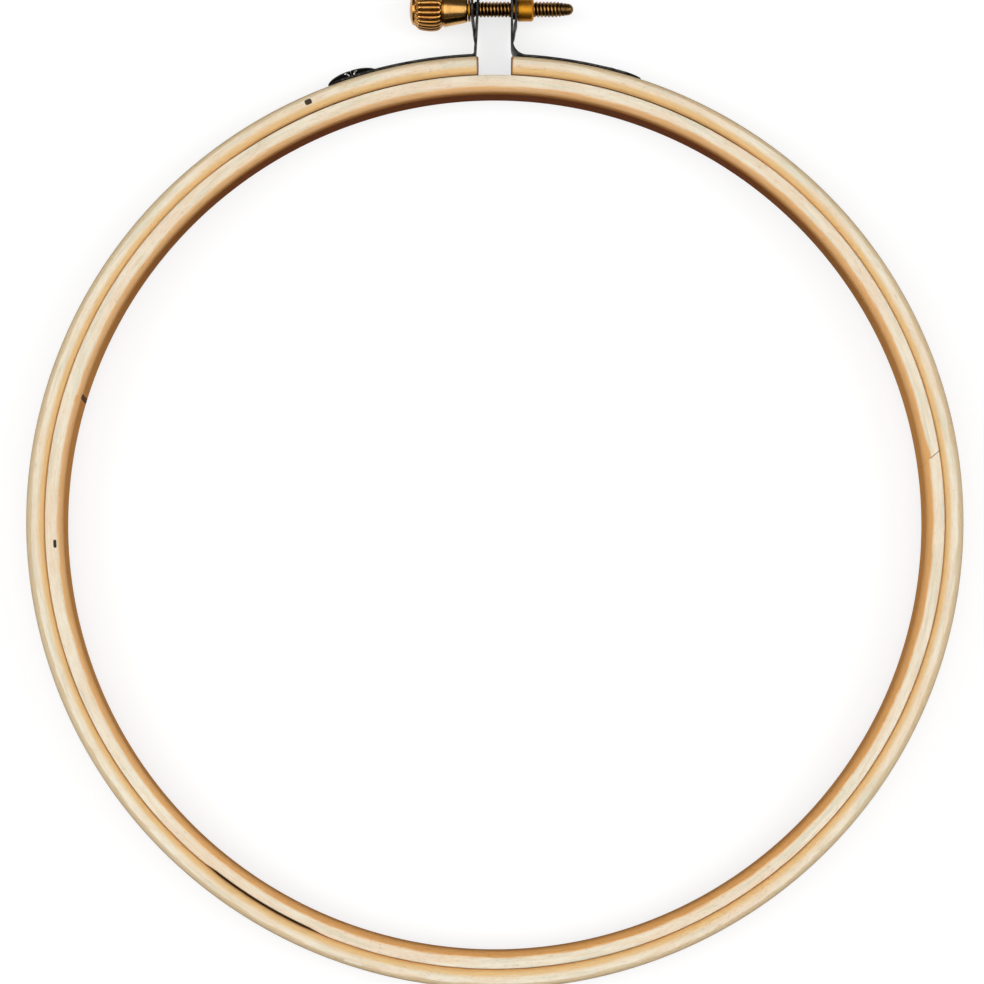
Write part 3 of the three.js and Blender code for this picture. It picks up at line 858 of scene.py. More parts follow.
def brackets():
    clamp = settings("hoop_clamp")
    material = steel_material("strap_steel", clamp.steel, clamp.grime, roughness=0.42)
    for name, strap, body in SIDES:
        reach = clamp.ear_opening / 2 + 2 * clamp.strap_thickness + strap.fold + MARGIN
        low, high = sorted((strap.side * (clamp.ear_opening / 2 - MARGIN), strap.side * reach))
        drills = [moved(drill, on_rim(degrees)) for degrees, drill in fastener_drills(strap)]
        drills.append(moved(rod("screw_drill", strap.screw_hole, low, high), along_screw(0)))
        mesh = drilled(bracket_mesh(strap, clamp), drills)
        piece(f"{name}_strap", mesh, material, f"{name}_bracket", body)


# Rivets and tacks


# A prong's height above the strap, from the split to its tip, as (share of its reach, share of its height).
PRONG_OUTLINE = (
    (0.006, 0.97), (0.03, 0.99), (0.1, 1), (0.2, 0.99), (0.3, 0.965), (0.4, 0.93),
    (0.5, 0.875), (0.6, 0.805), (0.7, 0.715), (0.8, 0.6), (0.9, 0.43), (0.96, 0.28), (1, 0.12),
)
PRONG_CROWN = 0.7  # below 1 the prong's section is fuller than half an ellipse
# A prong's rolled edge rises from low beside the split and bends over on the flank, in a quarter of an
# ellipse. Where it starts and ends, as (share of the prong's reach, share of its height):
BURR_FOOT = Vector((0.1, 0.16))
BURR_END = Vector((0.27, 0.66))
BURR_RADIUS = 0.2 * MM
BURR_STEPS = 16
BURR_SIDES = 10
BURR_BLUNTNESS = 0.08  # keeps its two ends from closing to a point
PRONG_SIDES = 16
PRONG_AT_SPLIT = 0.85  # its width beside the split, as a share of the whole
PRONG_NARROWS_FROM = 0.35  # the share of its reach from which it narrows to its tip
PRONG_NARROWING = 0.5


def prong_stations(side, height, clamp):
    """Places along a prong, as (distance from the rivet's middle, height, half width)."""
    stations = []
    for share, rise in smooth_through([Vector(point) for point in PRONG_OUTLINE], CURVE_STEPS):
        narrowed = 1 - PRONG_NARROWING * max(0, share - PRONG_NARROWS_FROM) ** 2
        half = clamp.prong_width / 2 * narrowed * min(1, PRONG_AT_SPLIT + share)
        stations.append((side * share * clamp.prong_reach, height * rise, half))
    return stations


def on_prong(station, angle):
    distance, top, half = station
    return Vector((distance, half * math.cos(angle), top * abs(math.sin(angle)) ** PRONG_CROWN))


def prong(side, height, clamp):
    """One leg of a split rivet, curled over and pressed down along the strap: it rises from the split to a
    rounded back and comes down to its tip."""
    turns = [math.pi * k / PRONG_SIDES for k in range(PRONG_SIDES + 1)]
    stations = prong_stations(side, height, clamp)
    return loft("prong", [[on_prong(station, turn) for turn in turns] for station in stations])


def burr(side, flank, height, clamp):
    """The rolled edge of a leg, a thin bead on one flank."""
    stations = prong_stations(side, height, clamp)
    line = []
    for i in range(BURR_STEPS + 1):
        turn = math.pi / 2 * i / BURR_STEPS
        share = BURR_END.x - (BURR_END.x - BURR_FOOT.x) * math.cos(turn)
        rise = BURR_FOOT.y + (BURR_END.y - BURR_FOOT.y) * math.sin(turn)
        distance = side * share * clamp.prong_reach
        _, top, half = min(stations, key=lambda station: abs(station[0] - distance))
        angle = math.asin(min(1, rise * height / top) ** (1 / PRONG_CROWN))
        line.append(on_prong((distance, top, half), angle if flank > 0 else math.pi - angle))
    sections = []
    for i, point in enumerate(line):
        along = (line[min(i + 1, len(line) - 1)] - line[max(i - 1, 0)]).normalized()
        first = along.cross(Vector((0, 1, 0))).normalized()
        second = along.cross(first)
        radius = BURR_RADIUS * math.sqrt(max(BURR_BLUNTNESS, 1 - (2 * i / BURR_STEPS - 1) ** 4))
        turns = [TURN * k / BURR_SIDES for k in range(BURR_SIDES)]
        round_it = [math.cos(turn) * first + math.sin(turn) * second for turn in turns]
        sections.append([point + radius * beside for beside in round_it])
    return loft("burr", sections)


def rivet_mesh(strap, clamp):
    wall = settings("hoop_wood").outer_wall
    top = STRAP_CLEARANCE + clamp.strap_thickness + SEAT
    head = RIVET_HEAD_RECESS - wall
    shank_top = top + RIVET_SHANK_RISE * strap.prong_height
    outline = [
        (0, head),
        (RIVET_HEAD_RADIUS - RIVET_HEAD_EDGE, head),
        (RIVET_HEAD_RADIUS, head + RIVET_HEAD_EDGE),
        (RIVET_HEAD_RADIUS, head + RIVET_HEAD_THICKNESS),
        (RIVET_SHANK_RADIUS, head + RIVET_HEAD_THICKNESS),
        (RIVET_SHANK_RADIUS, shank_top),
        (0, shank_top),
    ]
    height = strap.prong_height
    legs = [prong(side, height, clamp) for side in (-1, 1)]
    burrs = [burr(side, flank, height, clamp) for side in (-1, 1) for flank in (-1, 1)]
    for mesh in legs + burrs:
        mesh.transform(Matrix.Translation((0, 0, top)))
    return joined("rivet", [lathe("shank", outline, DRILL_SIDES), *legs, *burrs], worn=burrs)


def tack_mesh(clamp):
    wall = settings("hoop_wood").outer_wall
    base = STRAP_CLEARANCE + clamp.strap_thickness + SEAT
    tip = TACK_TIP_DEPTH - wall
    rim = base + TACK_HEAD_HEIGHT * TACK_RIM
    dome = [
        (TACK_HEAD_RADIUS * math.cos(turn), rim + (TACK_HEAD_HEIGHT * (1 - TACK_RIM)) * math.sin(turn))
        for turn in (math.pi / 2 * i / DOME_STEPS for i in range(DOME_STEPS))
    ]
    outline = [
        (0, tip),
        (TACK_SHANK_RADIUS, tip + TACK_POINT),
        (TACK_SHANK_RADIUS, base),
        (TACK_HEAD_RADIUS, base),
        *dome,
        (0, base + TACK_HEAD_HEIGHT),
    ]
    return lathe("tack", outline, DRILL_SIDES)


def fasteners(kind, make, place):
    clamp = settings("hoop_clamp")
    material = steel_material("fastener_steel", clamp.fastener, clamp.grime, roughness=0.34)
    for name, strap, body in SIDES:
        mesh = moved(make(strap, clamp), on_rim(place(strap)))
        piece(f"{name}_{kind}_steel", mesh, material, f"{name}_{kind}", body)


# Screw


def smooth_through(points, steps):
    """A smooth curve through points, with a number of steps between each two."""
    ends = [points[0], *points, points[-1]]
    curve = []
    for a, b, c, d in zip(ends, ends[1:], ends[2:], ends[3:]):
        for i in range(steps):
            t = i / steps
            bow = t**2 * (a - 2.5 * b + 2 * c - d / 2) + t**3 * (1.5 * b - 1.5 * c + (d - a) / 2)
            curve.append(b + t * (c - a) / 2 + bow)
    return [*curve, points[-1]]


# The head's outline from its outer end, as stretches of (distance, radius) in millimetres with creases
# between them: the knob's end, its rim, its fluted barrel, the groove, the tapered neck and the shoulder
HEAD_STRETCHES = (
    ((0, 0), (0.02, 0.9), (0.1, 1.75), (0.28, 2.5), (0.56, 3.2)),
    ((0.64, 3.34), (0.84, 3.44), (1.04, 3.5)),
    (
        (1.12, 3.54), (1.6, 3.98), (2, 4.36), (2.76, 4.62), (4.5, 4.83),
        (5.7, 4.76), (6.45, 4.56), (6.93, 4.2), (7.3, 3.76),
    ),
    ((7.4, 3.66), (7.52, 3.7), (7.62, 3.84)),
    ((7.72, 3.88), (8.2, 3.82), (9.9, 3.47), (11.6, 3.12), (12.35, 2.95), (12.62, 2.84), (12.78, 2.66)),
    ((12.8, 2.5), (12.8, 0)),
)
FLUTES_FROM = 1.15 * MM
FLUTES_TO = 6.95 * MM
FLUTE_FADE = 0.5 * MM
KNOB_END = screw_low.x + 7.4 * MM
FLUTE_SHARPNESS = 0.5  # below 1 the grooves are narrow and the ridges broad
FLUTE_DIRT = 0.7  # how dirty the knob's grooves are beside the thread's
CREST_DIRT = 0.42  # how dirty the thread's crests are
THREAD_FULLNESS = 0.8  # below 1 the crests are broader and the grooves narrower
THREAD_RUN_OUT = 2.5 * MM
THREAD_RUN_IN = 1.3 * MM
LEAST_RADIUS = 0.01 * MM  # the poles, on the axis, have nothing to divide by


def screw_tree():
    """Cuts the flutes into the knob and winds the thread on the shank, both about Z, and keeps on each point
    how deep in a groove it lies."""
    sizes = (
        "Flute Count", "Flute Depth", "Flutes From", "Flutes To",
        "Pitch", "Thread Depth", "Thread From", "Thread To",
    )
    tree, start, end, numbers = geometry_tree("Cut flutes and thread", sizes)
    count, flute_depth, flutes_from, flutes_to, pitch, thread_depth, thread_from, thread_to = numbers
    x, y, z = parts_of(tree, add_node(tree, "GeometryNodeInputPosition").outputs[0])
    radius = (x * x + y * y).power(0.5)
    angle = y.math("ARCTAN2", x)
    fluted = (z - flutes_from).between(0, FLUTE_FADE) * (flutes_to - z).between(0, FLUTE_FADE)
    turned = (angle + math.pi) * count / 2  # a groove faces straight up, as it does with any number of them
    flute = fluted * (1 - turned.sine().size().power(FLUTE_SHARPNESS))
    rise = ((z - thread_from) / THREAD_RUN_IN).least((thread_to - z) / THREAD_RUN_OUT).clamped()
    ridge = rise * ((z / pitch - angle / TURN) * math.pi).cosine().size().power(THREAD_FULLNESS)
    threaded = z.between(thread_from, thread_from + THREAD_RUN_IN)
    hollow = flute * FLUTE_DIRT + threaded * (1 - ridge * (1 - CREST_DIRT))
    kept = store(tree, start.outputs["Geometry"], "hollow", "FLOAT", hollow)
    grown = radius - flute * flute_depth + ridge * thread_depth
    share = grown / radius.math("MAXIMUM", LEAST_RADIUS)
    close_geometry_tree(tree, start, end, place_points(tree, kept, x * share, y * share, z))
    return tree


def head_mesh(head_length):
    """The knob and the neck, lathed about Z with the shoulder at 0."""
    outline = []
    for stretch in HEAD_STRETCHES:
        steps = CURVE_STEPS if len(stretch) > 2 else 1
        curve = smooth_through([Vector(point) for point in stretch], steps)
        outline += [(max(0, point.y) * MM, point.x * MM - head_length) for point in curve]
    return lathe("head", outline, settings("hoop_screw").flute_count * SIDES_PER_FLUTE)


def shank_mesh(screw, shank_length):
    root = screw.thread_radius - screw.thread_depth
    to = shank_length - TIP_LENGTH
    rows = round((to + SHANK_IN_NECK) / screw.thread_pitch * THREAD_ROWS_PER_TURN)
    sides = [(root, -SHANK_IN_NECK + (to + SHANK_IN_NECK) * i / rows) for i in range(rows + 1)]
    tip = [
        (root * math.cos(turn), to + TIP_LENGTH * math.sin(turn))
        for turn in (math.pi / 2 * i / TIP_STEPS for i in range(1, TIP_STEPS))
    ]
    return lathe("shank", [(0, -SHANK_IN_NECK), *sides, *tip, (0, shank_length)], SHANK_SIDES)


def thumbscrew():
    screw = settings("hoop_screw")
    shoulder = washer_low.x - SEAT
    head_length = shoulder - screw_low.x
    shank_length = screw_high.x - shoulder
    blank = joined("thumbscrew", [head_mesh(head_length), shank_mesh(screw, shank_length)])
    sizes = {
        "Flute Count": float(screw.flute_count),
        "Flute Depth": screw.flute_depth,
        "Flutes From": FLUTES_FROM - head_length,
        "Flutes To": FLUTES_TO - head_length,
        "Pitch": screw.thread_pitch,
        "Thread Depth": screw.thread_depth,
        "Thread From": 0.0,
        "Thread To": shank_length - TIP_LENGTH,
    }
    material = brass_material("brass", screw.brass, screw, satin=0.17)
    mesh = moved(grow(blank, screw_tree(), sizes, material), along_screw(shoulder))
    piece("thumbscrew_brass", mesh, material, "thumbscrew", "screw", crease=38)


def rounded_corner(radius, height, up):
    """The rounded outer edge of a turned piece, from its end face, which faces up or down, to its side."""
    centre = Vector((radius - TURNED_EDGE, height - up * TURNED_EDGE))
    return arc(centre, TURNED_EDGE, up * math.pi / 2, 0, CORNER_STEPS)


def washer(screw, material):
    radius = (washer_high.y - washer_low.y) / 2
    thickness = washer_high.x - washer_low.x
    bore = screw.thread_radius + WASHER_CLEARANCE
    ease = TURNED_EDGE / 2
    outline = [
        (bore + ease, 0),
        *rounded_corner(radius, 0, -1),
        *reversed(rounded_corner(radius, thickness, 1)),
        (bore + ease, thickness),
        (bore, thickness - ease),
        (bore, ease),
    ]
    mesh = moved(lathe("washer", outline, TURNED_SIDES, hollow=True), along_screw(washer_low.x))
    piece("washer_brass", mesh, material, "washer", "screw_seat")


def barrel_nut(screw, material):
    radius = (nut_high.y - nut_low.y) / 2
    whole = nut_high.x - nut_low.x
    flange = whole - screw.nut_length
    along_flat, along_chamfer = CHAMFER_EASE
    outline = [
        (NUT_BORE_RADIUS, 0),
        (NUT_SPIGOT_RADIUS, 0),
        (NUT_SPIGOT_RADIUS, flange),
        *rounded_corner(radius, flange, -1),
        (radius, whole - NUT_CHAMFER - along_flat),
        (radius - along_chamfer, whole - NUT_CHAMFER),
        (radius - NUT_CHAMFER, whole - along_chamfer),
        (radius - NUT_CHAMFER - along_flat, whole),
        (NUT_BORE_RADIUS + NUT_MOUTH, whole),
        (NUT_BORE_RADIUS, whole - NUT_MOUTH),
    ]
    mesh = moved(lathe("nut", outline, TURNED_SIDES, hollow=True), along_screw(nut_low.x))
    piece("barrel_nut_brass", mesh, material, "barrel_nut", "outer_frame")


# Materials


def new_material(name, **shader_values):
    """A material and its tree, with plain numbers set on the shader's own sockets."""
    material = bpy.data.materials.new(name)
    material.use_nodes = True
    shader = material.node_tree.nodes["Principled BSDF"]
    for socket, value in shader_values.items():
        shader.inputs[socket.replace("_", " ")].default_value = value
    return material, material.node_tree, shader


def bumped(tree, height, distance, strength=1.0):
    inputs = {"Height": height, "Distance": distance, "Strength": strength}
    return add_node(tree, "ShaderNodeBump", inputs).outputs[0]


def strip_place(tree):
    """A wooden ring's own place in its straight strip, in millimetres: along it, outwards and up."""
    place = add_node(tree, "ShaderNodeAttribute", attribute_name="strip_place").outputs["Vector"]
    return [part / MM for part in parts_of(tree, place)]


def wood_grain_group():
    """Grain along a bent strip: soft patches, streaks, fine fibres and small pores, all stretched along it.
    Each has its own scale along and across the strip, in waves to the millimetre."""
    name = "Bent wood grain"
    if name in bpy.data.node_groups:
        return bpy.data.node_groups[name]
    outputs = dict.fromkeys(("Patches", "Cool", "Streaks", "Fibres", "Pores", "Height"), "Float")
    tree, start, end = group_tree(name, "ShaderNodeTree", {"Seed": "Float"}, outputs)
    along, out, up = strip_place(tree)
    seed = Number(tree, start.outputs["Seed"])

    def grain(along_scale, across_scale, offset, detail, roughness=0.5):
        vector = vector_of(tree, along * along_scale + seed * offset, out * across_scale, up * across_scale)
        return noise(tree, vector, detail, roughness)

    values = {
        "Patches": grain(0.045, 0.3, 3, 2).between(0.4, 0.62),
        "Cool": grain(0.06, 0.8, 23, 2).between(0.5, 0.66),
        "Streaks": grain(0.16, 1.7, 7, 3).between(0.42, 0.66),
        "Fibres": grain(0.45, 7, 11, 3, 0.6).between(0.32, 0.7),
        "Pores": grain(0.9, 9, 17, 2).between(0.63, 0.72),
    }
    values["Height"] = values["Fibres"] * 0.6 - values["Pores"] + values["Streaks"] * 0.5
    for output, value in values.items():
        connect(tree, value, end.inputs[output])
    return tree


def spot(along, out, place_along, place_out, half_length, half_width):
    """A small oblong mark at a place on the strip, in millimetres."""
    a = (along - place_along) / half_length
    b = (out - place_out) / half_width
    return 1 - (a.size().power(4) + b.size().power(4)).between(0.45, 1)


# Everything that the wood's materials measure is in millimetres
HALF_DEPTH = RING_DEPTH / 2 / MM
BAND_WAVE = 0.22  # how far the edges of the bands of colour wander
OUTER_DRIFT = 0.14  # how much wider the bands grow on their way round
INNER_DRIFT = 0.28
INNER_WIDEST_DEGREES = 295  # where the inner ring's tan band is widest, and darkest with painted shade
JOINT_STEP = 0.5  # how much wider it is on the clamp's side of the scarf joint
JOINT_STEP_OVER = 5
GLUE_LINE = 0.14
DEEP_FROM = 3.9  # the height above the middle below which painted shade darkens the inside wall
DEEP_OVER = 2.6
FLECK_DEPTH = 1.7  # how far below the upper side a fleck reaches
KNOT_DEPTH = 11
Mark = namedtuple("Mark", "degrees out half_length half_width depth strength shade")


def wood_material(name, strip, widening, bands, marks, seed):
    """Bare wood: pale, pinkish and greyish grain, bands of colour across the wall that widen and narrow a
    little on their way round, partly the wood's tone and partly painted shade on the rounded edges and in the
    seam, and small marks on the upper side."""
    wood = settings("hoop_wood")
    material, tree, shader = new_material(name, Specular_IOR_Level=0.12)
    group = add_node(tree, "ShaderNodeGroup", node_tree=wood_grain_group())
    group.inputs["Seed"].default_value = seed
    grain = {output.name: Number(tree, output) for output in group.outputs}
    along, out, up = strip_place(tree)
    inside = widening(along) + (0.5 - grain["Streaks"]) * BAND_WAVE - out
    base = mixed(tree, grain["Patches"] * 0.7, wood.pale, wood.pink)
    base = mixed(tree, grain["Cool"] * 0.7, base, wood.green)
    base = mixed(tree, grain["Streaks"] * 0.2, base, wood.honey)
    for mask, band in bands(along, out, inside, up):
        base = mixed(tree, mask, base, band)
    base = mixed(tree, grain["Fibres"] * 0.13, base, wood.bark)
    base = mixed(tree, grain["Pores"] * 0.3, base, wood.bark)
    for mark in marks:
        above = (up - HALF_DEPTH + mark.depth).between(0, 0.2)
        place = strip.distance(mark.degrees) / MM
        mask = spot(along, out, place, mark.out, mark.half_length, mark.half_width)
        base = mixed(tree, mask * above * mark.strength, base, mark.shade)
    connect(tree, base, shader.inputs["Base Color"])
    connect(tree, 0.8 + grain["Fibres"] * 0.14, shader.inputs["Roughness"])
    connect(tree, bumped(tree, grain["Height"], 0.05 * MM), shader.inputs["Normal"])
    return material


def seam_painted_shade(strip, along, depth):
    """Painted shade on the faces of the seam in the windows where the rings stand apart, by the depth below
    the face.
    """
    stain = 0
    for window in WINDOWS:
        shown = in_window(strip.facing(along, window.middle), window, SHADE_BETWEEN)
        stain = (window.stain - depth).between(0, window.stain / 2) * shown * 0.6 + stain
    return stain


def outer_wood_material(strip):
    """Greyish at the rim, palest outside the middle and honey coloured towards the seam. The rim's grey and
    the honey and tan of the inner edge are partly painted shade, and the seam's face gets painted shade.
    """
    wood = settings("hoop_wood")
    half_length = strip.half_length / MM

    def widening(along):
        return strip.facing(along, 90, 2) * OUTER_DRIFT

    def bands(along, out, inside, up):
        wall = (HALF_DEPTH - up.size()).between(0.8, 2)
        return (
            # The honey and tan bands on the rounded inner edge are partly the wood's tone and partly painted
            # shade
            (inside.between(0.1, 0.7) * 0.35, wood.honey),
            (inside.between(0.5, 1.15) * 0.8, wood.honey),
            (inside.between(1.4, 1.9) * 0.4, wood.tan),
            # Painted shade on the seam's faces where the rings stand apart
            (seam_painted_shade(strip, along, strip.half_wall / MM + out), wood.shade),
            # The rim's grey on the rounded outer edge is partly the wood's tone and partly painted shade
            ((0 - inside).between(0.6, 1.15) * (0.75 - wall * 0.6), wood.rim),
            (along.size().between(half_length - 0.6, half_length - 0.2), wood.end_grain),
        )

    marks = (
        Mark(114.2, 0.3, 0.85, 0.66, FLECK_DEPTH, 0.95, wood.fleck),
        Mark(252.5, 1.2, 2.2, 0.25, FLECK_DEPTH, 0.7, wood.pale),
    )
    return wood_material("outer_wood", strip, widening, bands, marks, seed=2.0)


def inner_wood_material(strip):
    """Pale on top, with a tan band on its rounded inner edge, partly its own tone and partly painted shade,
    and a brown inside wall below that, with painted shade low down that is darkest beside the clamp. The band
    is wider on one side of the scarf joint, whose glue line shows, and darker with painted shade where it is
    widest."""
    wood = settings("hoop_wood")
    half_length = strip.half_length / MM

    def widening(along):
        above_joint = (0 - along).between(half_length - JOINT_STEP_OVER, half_length)
        return strip.facing(along, INNER_WIDEST_DEGREES) * INNER_DRIFT + above_joint * JOINT_STEP

    def bands(along, out, inside, up):
        wall = inside.between(1.2, 1.5)
        below = (HALF_DEPTH - up.size()).between(0.8, 1.25)
        by_clamp = strip.facing(along, 90).between(0.2, 0.9)
        # Painted shade: the inside wall darkens low down and beside the clamp
        deep = (DEEP_FROM - up).between(0, DEEP_OVER) * by_clamp
        widest = strip.facing(along, INNER_WIDEST_DEGREES)
        from_joint = half_length - (along - out * JOINT_SLOPE).size()
        glued = (GLUE_LINE - from_joint).between(0, GLUE_LINE / 2) * out.between(-0.3, 0.2)
        return (
            # The honey and tan bands on the rounded inner edge are partly the wood's tone and partly painted
            # shade
            (inside.between(0.1, 0.5) * 0.3, wood.honey),
            (inside.between(0.3, 0.85) * (widest * 0.12 + 0.82), wood.tan),
            # Painted shade where the tan band is widest
            (inside.between(0.45, 1) * widest.between(0.2, 1) * 0.2, wood.deep),
            # Painted shade low on the inside wall, darkest beside the clamp
            (wall * below, wood.bark),
            (wall * deep, wood.deep),
            # Painted shade on the seam's face where the rings stand apart
            (seam_painted_shade(strip, along, strip.half_wall / MM - out), wood.shade),
            (glued * 0.75, wood.glue),
        )

    marks = (
        Mark(183.8, 0, 0.95, 0.34, FLECK_DEPTH, 0.97, wood.fleck),
        Mark(164.4, -0.95, 0.9, 0.5, FLECK_DEPTH, 0.45, wood.bark),
        Mark(163.9, -2.25, 0.75, 0.55, KNOT_DEPTH, 0.85, wood.fleck),
    )
    return wood_material("inner_wood", strip, widening, bands, marks, seed=5.0)


EDGE_WEAR = 0.09 * MM  # how far from a strap's cut edge it is rubbed


def steel_material(name, clean, grime, roughness):
    """Rolled steel: dark, with soft mottling, fine scratches and dirt in patches. It is bright where it is
    worn: on the cut edges of the straps, and on what is marked as worn."""
    material, tree, shader = new_material(name, Metallic=1.0)
    place = add_node(tree, "ShaderNodeTexCoord").outputs["Object"]
    mottle = noise(tree, place, detail=4, roughness=0.6, scale=420).between(0.35, 0.7)
    specks = noise(tree, place, detail=2, roughness=0.6, scale=2600).between(0.5, 0.75)
    x, y, z = parts_of(tree, place)
    scratches = noise(tree, vector_of(tree, x * 900, y * 900, z * 9000), detail=2, roughness=0.5)
    half_width = settings("hoop_clamp").strap_width / 2
    edge = (z - SCREW_AXIS.z).size().between(half_width - EDGE_WEAR, half_width - EDGE_WEAR / 3)
    rubbed = noise(tree, place, detail=3, roughness=0.5, scale=900).between(0.42, 0.6)
    marked = Number(tree, add_node(tree, "ShaderNodeAttribute", attribute_name="wear").outputs["Fac"])
    wear = marked.math("MAXIMUM", edge * (0.025 + rubbed * 0.05))
    base = mixed(tree, 0.4 + mottle * 0.4 + specks * 0.2, clean, grime)
    connect(tree, mixed(tree, wear, base, settings("hoop_clamp").worn), shader.inputs["Base Color"])
    rough = (roughness + mottle * 0.2 + scratches * 0.08) * (1 - wear * 0.4)
    connect(tree, rough, shader.inputs["Roughness"])
    connect(tree, bumped(tree, scratches + specks * 0.4, 0.02 * MM), shader.inputs["Normal"])
    return material


def turned_brass_group():
    """Turned brass: fine rings about the screw's axis, duller patches, and tarnish in the grooves."""
    name = "Turned brass"
    if name in bpy.data.node_groups:
        return bpy.data.node_groups[name]
    inputs = {"Clean": "Color", "Dull": "Color", "Tarnish": "Color", "Satin": "Float"}
    outputs = {"Color": "Color", "Roughness": "Float", "Height": "Float"}
    tree, start, end = group_tree(name, "ShaderNodeTree", inputs, outputs)
    place = add_node(tree, "ShaderNodeTexCoord").outputs["Object"]
    x, y, z = parts_of(tree, place)
    across = y - SCREW_AXIS.y
    up = z - SCREW_AXIS.z
    radius = (across * across + up * up).power(0.5)
    lines = vector_of(tree, (x + radius) * 9000, across * 90, up * 90)
    rings = noise(tree, lines, detail=2, roughness=0.6)
    patches = noise(tree, place, detail=3, roughness=0.6, scale=330).between(0.4, 0.68)
    hollow = Number(tree, add_node(tree, "ShaderNodeAttribute", attribute_name="hollow").outputs["Fac"])
    dirt = hollow.between(0.15, 0.7) * (0.75 + patches * 0.2)
    knurled = (KNOB_END - x).between(0, 0.2 * MM)
    base = mixed(tree, patches * 0.4 + knurled * 0.5, start.outputs["Clean"], start.outputs["Dull"])
    connect(tree, mixed(tree, dirt, base, start.outputs["Tarnish"]), end.inputs["Color"])
    satin = Number(tree, start.outputs["Satin"])
    connect(tree, satin + patches * 0.06 + dirt * 0.12 + rings * 0.06, end.inputs["Roughness"])
    connect(tree, rings, end.inputs["Height"])
    return tree


def brass_material(name, clean, screw, satin):
    """Turned brass. Satin is the roughness of its cleanest places."""
    material, tree, shader = new_material(name, Metallic=1.0)
    group = add_node(tree, "ShaderNodeGroup", node_tree=turned_brass_group())
    for socket, value in (("Clean", clean), ("Dull", screw.old_brass), ("Tarnish", screw.tarnish)):
        group.inputs[socket].default_value = [*value, 1]
    group.inputs["Satin"].default_value = satin
    connect(tree, group.outputs["Color"], shader.inputs["Base Color"])
    connect(tree, group.outputs["Roughness"], shader.inputs["Roughness"])
    connect(tree, bumped(tree, group.outputs["Height"], 0.01 * MM, 0.6), shader.inputs["Normal"])
    return material


# Stage

FLOOR_GLOW = 0.71
FLOOR_HALF = 4
FLOOR_DROP = 0.3 * MM
CAMERA_AIM = Vector((-0.61 * MM, 4.94 * MM, 0))  # from the middle of the ring's upper side


def seen_directly(tree):
    """1 for what the camera, a mirror or glass sees, and 0 for the light that falls on other surfaces."""
    light = add_node(tree, "ShaderNodeLightPath")
    seen = Number(tree, light.outputs["Is Camera Ray"])
    for ray in ("Is Glossy Ray", "Is Transmission Ray"):
        seen = seen.math("MAXIMUM", light.outputs[ray])
    return seen


def floor(stage):
    """A pale floor. Part of its white is its own glow, which only what looks at it directly sees, so that the
    hoop's shadow on it stays soft."""
    material, tree, shader = new_material("floor", Roughness=1.0, Specular_IOR_Level=0.0)
    seen = seen_directly(tree)
    connect(tree, mixed(tree, seen, stage.floor_bounce, stage.floor), shader.inputs["Base Color"])
    shader.inputs["Emission Color"].default_value = (1, 1, 1, 1)
    connect(tree, seen * FLOOR_GLOW, shader.inputs["Emission Strength"])
    corners = [(x * FLOOR_HALF, y * FLOOR_HALF, -FLOOR_DROP) for x, y in ((-1, -1), (1, -1), (1, 1), (-1, 1))]
    mesh = bpy.data.meshes.new("floor")
    mesh.from_pydata(corners, [], [(0, 1, 2, 3)])
    mesh.materials.append(material)
    made = bpy.data.objects.new("floor", mesh)
    bpy.context.scene.collection.objects.link(made)


def lamp(name, power, width, depth, place):
    """A soft lamp that faces the middle of the hoop."""
    data = bpy.data.lights.new(name, "AREA")
    data.shape = "RECTANGLE"
    data.size = width
    data.size_y = depth
    data.energy = power
    made = bpy.data.objects.new(name, data)
    made.location = place
    made.rotation_euler = Vector(place).to_track_quat("Z", "Y").to_euler()
    bpy.context.scene.collection.objects.link(made)


def lamps(stage):
    """One flat above the hoop, and one on each side that lights the walls of the rings."""
    overhead = (0, -stage.lamp_forward, stage.lamp_height)
    lamp("overhead_lamp", stage.lamp_power, stage.lamp_width, stage.lamp_depth, overhead)
    across = stage.side_distance * math.cos(stage.side_elevation)
    up = stage.side_distance * math.sin(stage.side_elevation)
    for name, side in (("left_lamp", -1), ("right_lamp", 1)):
        lamp(name, stage.side_power, stage.side_size, stage.side_size, (side * across, 0, up))


def world(stage):
    made = bpy.data.worlds.new("surroundings")
    bpy.context.scene.world = made
    made.use_nodes = True
    background = made.node_tree.nodes["Background"]
    background.inputs["Color"].default_value = (1, 1, 1, 1)
    background.inputs["Strength"].default_value = stage.world_light


def camera(stage):
    """Looks down on the hoop from a little in front of it, as the photograph does."""
    aim = RING_CENTRE + Vector((0, 0, RING_DEPTH / 2)) + CAMERA_AIM
    elevation = stage.camera_elevation
    back = Vector((0, -math.cos(elevation), math.sin(elevation)))
    data = bpy.data.cameras.new("camera")
    data.sensor_width = 36
    data.lens = data.sensor_width * stage.camera_distance / stage.frame_width
    data.clip_start = 0.01
    made = bpy.data.objects.new("camera", data)
    made.location = aim + back * stage.camera_distance
    made.rotation_euler = back.to_track_quat("Z", "Y").to_euler()
    bpy.context.scene.collection.objects.link(made)
    bpy.context.scene.camera = made


def make_stage():
    stage = settings("hoop_stage")
    floor(stage)
    lamps(stage)
    world(stage)
    camera(stage)
    bpy.context.scene.view_settings.view_transform = "Standard"


# Operators and panel


class HOOP_OT_outer_ring(bpy.types.Operator):
    """Bend the outer ring, with its split and the holes of its fasteners"""

    bl_idname = "hoop.outer_ring"
    bl_label = "Outer ring"

    def execute(self, context):
        outer_ring()
        return {"FINISHED"}


class HOOP_OT_inner_ring(bpy.types.Operator):
    """Bend the inner ring, with its scarf joint"""

    bl_idname = "hoop.inner_ring"
    bl_label = "Inner ring"

    def execute(self, context):
        inner_ring()
        return {"FINISHED"}


